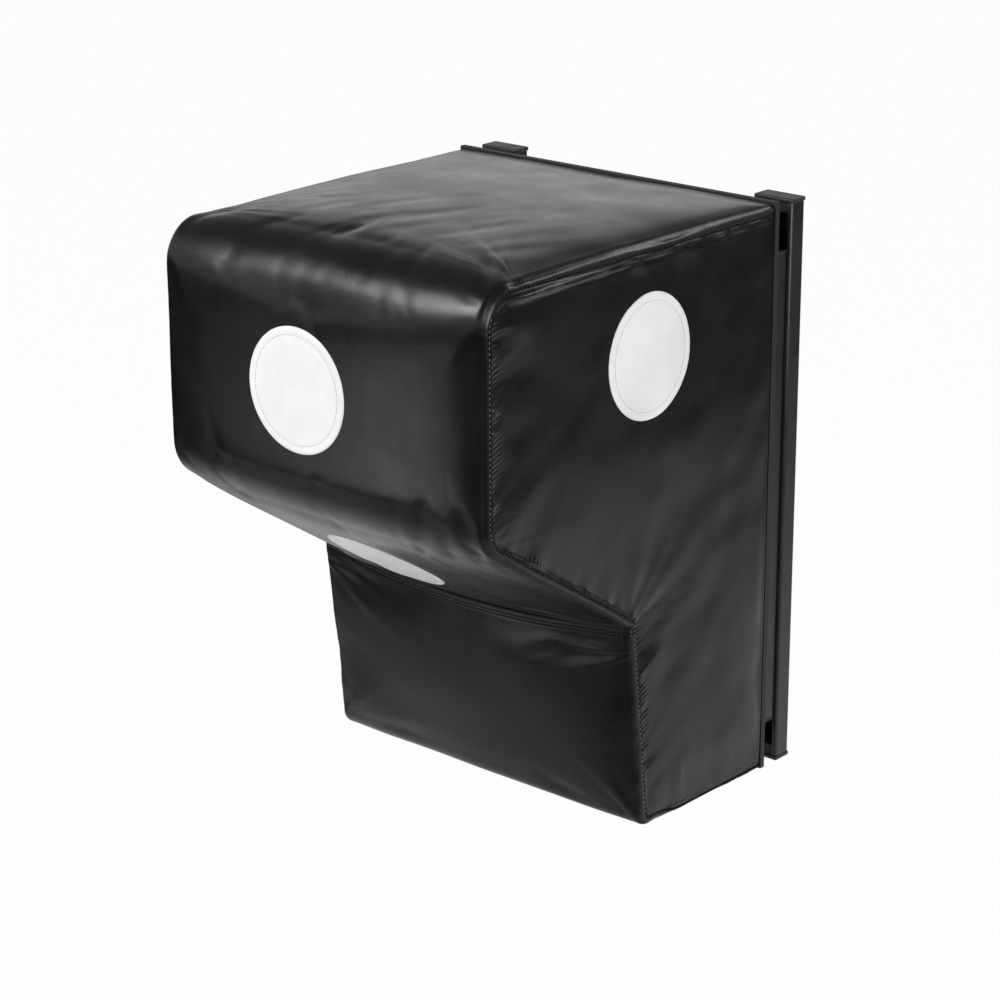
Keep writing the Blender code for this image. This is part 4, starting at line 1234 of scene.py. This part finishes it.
class PUNCHPAD_OT_stitches(bpy.types.Operator):
    """Sews the seams of the cover"""

    bl_idname = "punchpad.stitches"
    bl_label = "Seam stitches"

    def execute(self, context):
        sizes = context.scene.punchpad_sizes
        pale = sewing_thread("pale_thread", list(context.scene.punchpad_finish.pale_thread))
        dark = sewing_thread("dark_thread", list(context.scene.punchpad_finish.dark_thread))
        for side, sign in SIDES.items():
            path = SURFACES[side].path
            run = np.arange(0.01, path.length - 0.01, sizes.stitch_pitch)
            place, out = path.at(run), path.outward(run, 0.003)
            x = sign * (sizes.half_width - 0.0006)
            centres = np.column_stack([np.full(len(run), x), place + out * 0.0003])
            way = np.column_stack([np.zeros(len(run)), -out[:, 1], out[:, 0]])
            normal = np.column_stack([np.full(len(run), sign * 0.8), out * 0.6])
            upright = out[:, 0] < -0.9
            for label, picked, thread in (("upright", upright, pale), ("edge", ~upright, dark)):
                name = "%s_stitches_%s" % (label, side)
                row = stitch_row(name, centres[picked], way[picked], normal[picked], *SEAM_STITCH)
                dress(row, PAD, "black_vinyl", thread)
        lower = SURFACES["lower"]
        reach = sizes.half_width - 0.006
        across = np.arange(-reach, reach, CREASE_PITCH)
        rows = []
        for gap in CREASE_ROWS:
            rows.append(lay_on(lower.at, across, np.full(len(across), gap), np.full(len(across), 0.0001)))
        centres, along, _, normal = (np.concatenate(parts) for parts in zip(*rows))
        row = stitch_row("crease_stitches", centres, along, normal, *CREASE_STITCH)
        dress(row, PAD, "black_vinyl", dark)
        return {"FINISHED"}


class PUNCHPAD_OT_hardware(bpy.types.Operator):
    """Finishes the rails, runners, caps, boards and fasteners"""

    bl_idname = "punchpad.hardware"
    bl_label = "Hardware"

    def execute(self, context):
        finish = context.scene.punchpad_finish
        steel = painted_steel("black_powder_coat", list(finish.steel))
        plastic = moulded_plastic("black_cap_plastic", list(finish.plastic))
        for side in SIDES:
            soften("rail_" + side, "wall_rail_" + side, WALL_SIDE, "black_paint", steel, 0.0010)
            soften("tube_" + side, "runner_" + side, PAD, "black_paint", steel, 0.0009)
            for end in ENDS:
                name = "%s_%s" % (side, end)
                soften("cap_" + name, "rail_cap_" + name, WALL_SIDE, "black_plastic", plastic, 0.0008)
                soften("plug_" + name, "runner_plug_" + name, PAD, "black_plastic", plastic, 0.0006)
        zinc = zinc_plate("zinc_plate", (0.55, 0.56, 0.57, 1))
        finishes = {
            "back_board": wood_board("black_board", list(finish.board), 0.3),
            "core_board": wood_board("plain_plywood", (0.52, 0.36, 0.20, 1), 0.25),
            "core_foam": open_foam("rebonded_foam", (0.24, 0.27, 0.33, 1)),
            "slide_shoe": moulded_plastic("natural_nylon", (0.62, 0.60, 0.54, 1), 0.4),
            "board_screw": zinc,
            "tee_nut": zinc,
            "runner_bolt": zinc,
        }
        for node, obj in frame["nodes"].items():
            for part, material in finishes.items():
                if part in node:
                    obj.data.materials.clear()
                    obj.data.materials.append(material)
        return {"FINISHED"}


def soften(name, node, body, slot, material, width, widest_round=0.003):
    """A copy of a hard piece with its edges eased: narrow faces are shaded round, and wide ones flat."""
    bm = bmesh.new()
    bm.from_mesh(frame["nodes"][node].data)
    bmesh.ops.remove_doubles(bm, verts=bm.verts, dist=1e-5)
    bmesh.ops.dissolve_limit(bm, angle_limit=math.radians(2), verts=bm.verts, edges=bm.edges)
    sharp = [edge for edge in bm.edges if edge.is_manifold and edge.calc_face_angle(0) > math.radians(40)]
    bmesh.ops.bevel(
        bm, geom=sharp, offset=width, offset_type="OFFSET", segments=2, profile=0.5, affect="EDGES",
        clamp_overlap=True, material=-1,
    )
    for face in bm.faces:
        face.smooth = face.calc_area() < widest_round * max(edge.calc_length() for edge in face.edges)
    dress(link(name, finished(name, bm)), body, slot, material, node)


class PUNCHPAD_PT_panel(bpy.types.Panel):
    """Lists the pad's pieces, sizes and colours"""

    bl_idname = "PUNCHPAD_PT_panel"
    bl_label = "Wall Punching Pad"
    bl_space_type = "VIEW_3D"
    bl_region_type = "UI"
    bl_category = "Wall Pad"

    def draw(self, context):
        for group in (context.scene.punchpad_sizes, context.scene.punchpad_finish):
            for name in group.bl_rna.properties.keys():
                if name not in ("rna_type", "name"):
                    self.layout.prop(group, name)
        for operator in OPERATORS:
            self.layout.operator(operator.bl_idname)


OPERATORS = (
    PUNCHPAD_OT_stage, PUNCHPAD_OT_cover, PUNCHPAD_OT_discs, PUNCHPAD_OT_stitches, PUNCHPAD_OT_hardware,
)
CLASSES = (WallPadSizes, WallPadFinish) + OPERATORS + (PUNCHPAD_PT_panel,)


def register():
    for cls in CLASSES:
        bpy.utils.register_class(cls)
    bpy.types.Scene.punchpad_sizes = PointerProperty(type=WallPadSizes)
    bpy.types.Scene.punchpad_finish = PointerProperty(type=WallPadFinish)


def unregister():
    del bpy.types.Scene.punchpad_finish
    del bpy.types.Scene.punchpad_sizes
    for cls in reversed(CLASSES):
        bpy.utils.unregister_class(cls)


def main():
    register()
    bpy.ops.punchpad.stage()
    bpy.ops.punchpad.cover()
    bpy.ops.punchpad.discs()
    bpy.ops.punchpad.stitches()
    bpy.ops.punchpad.hardware()


if __name__ == "__main__":
    main()
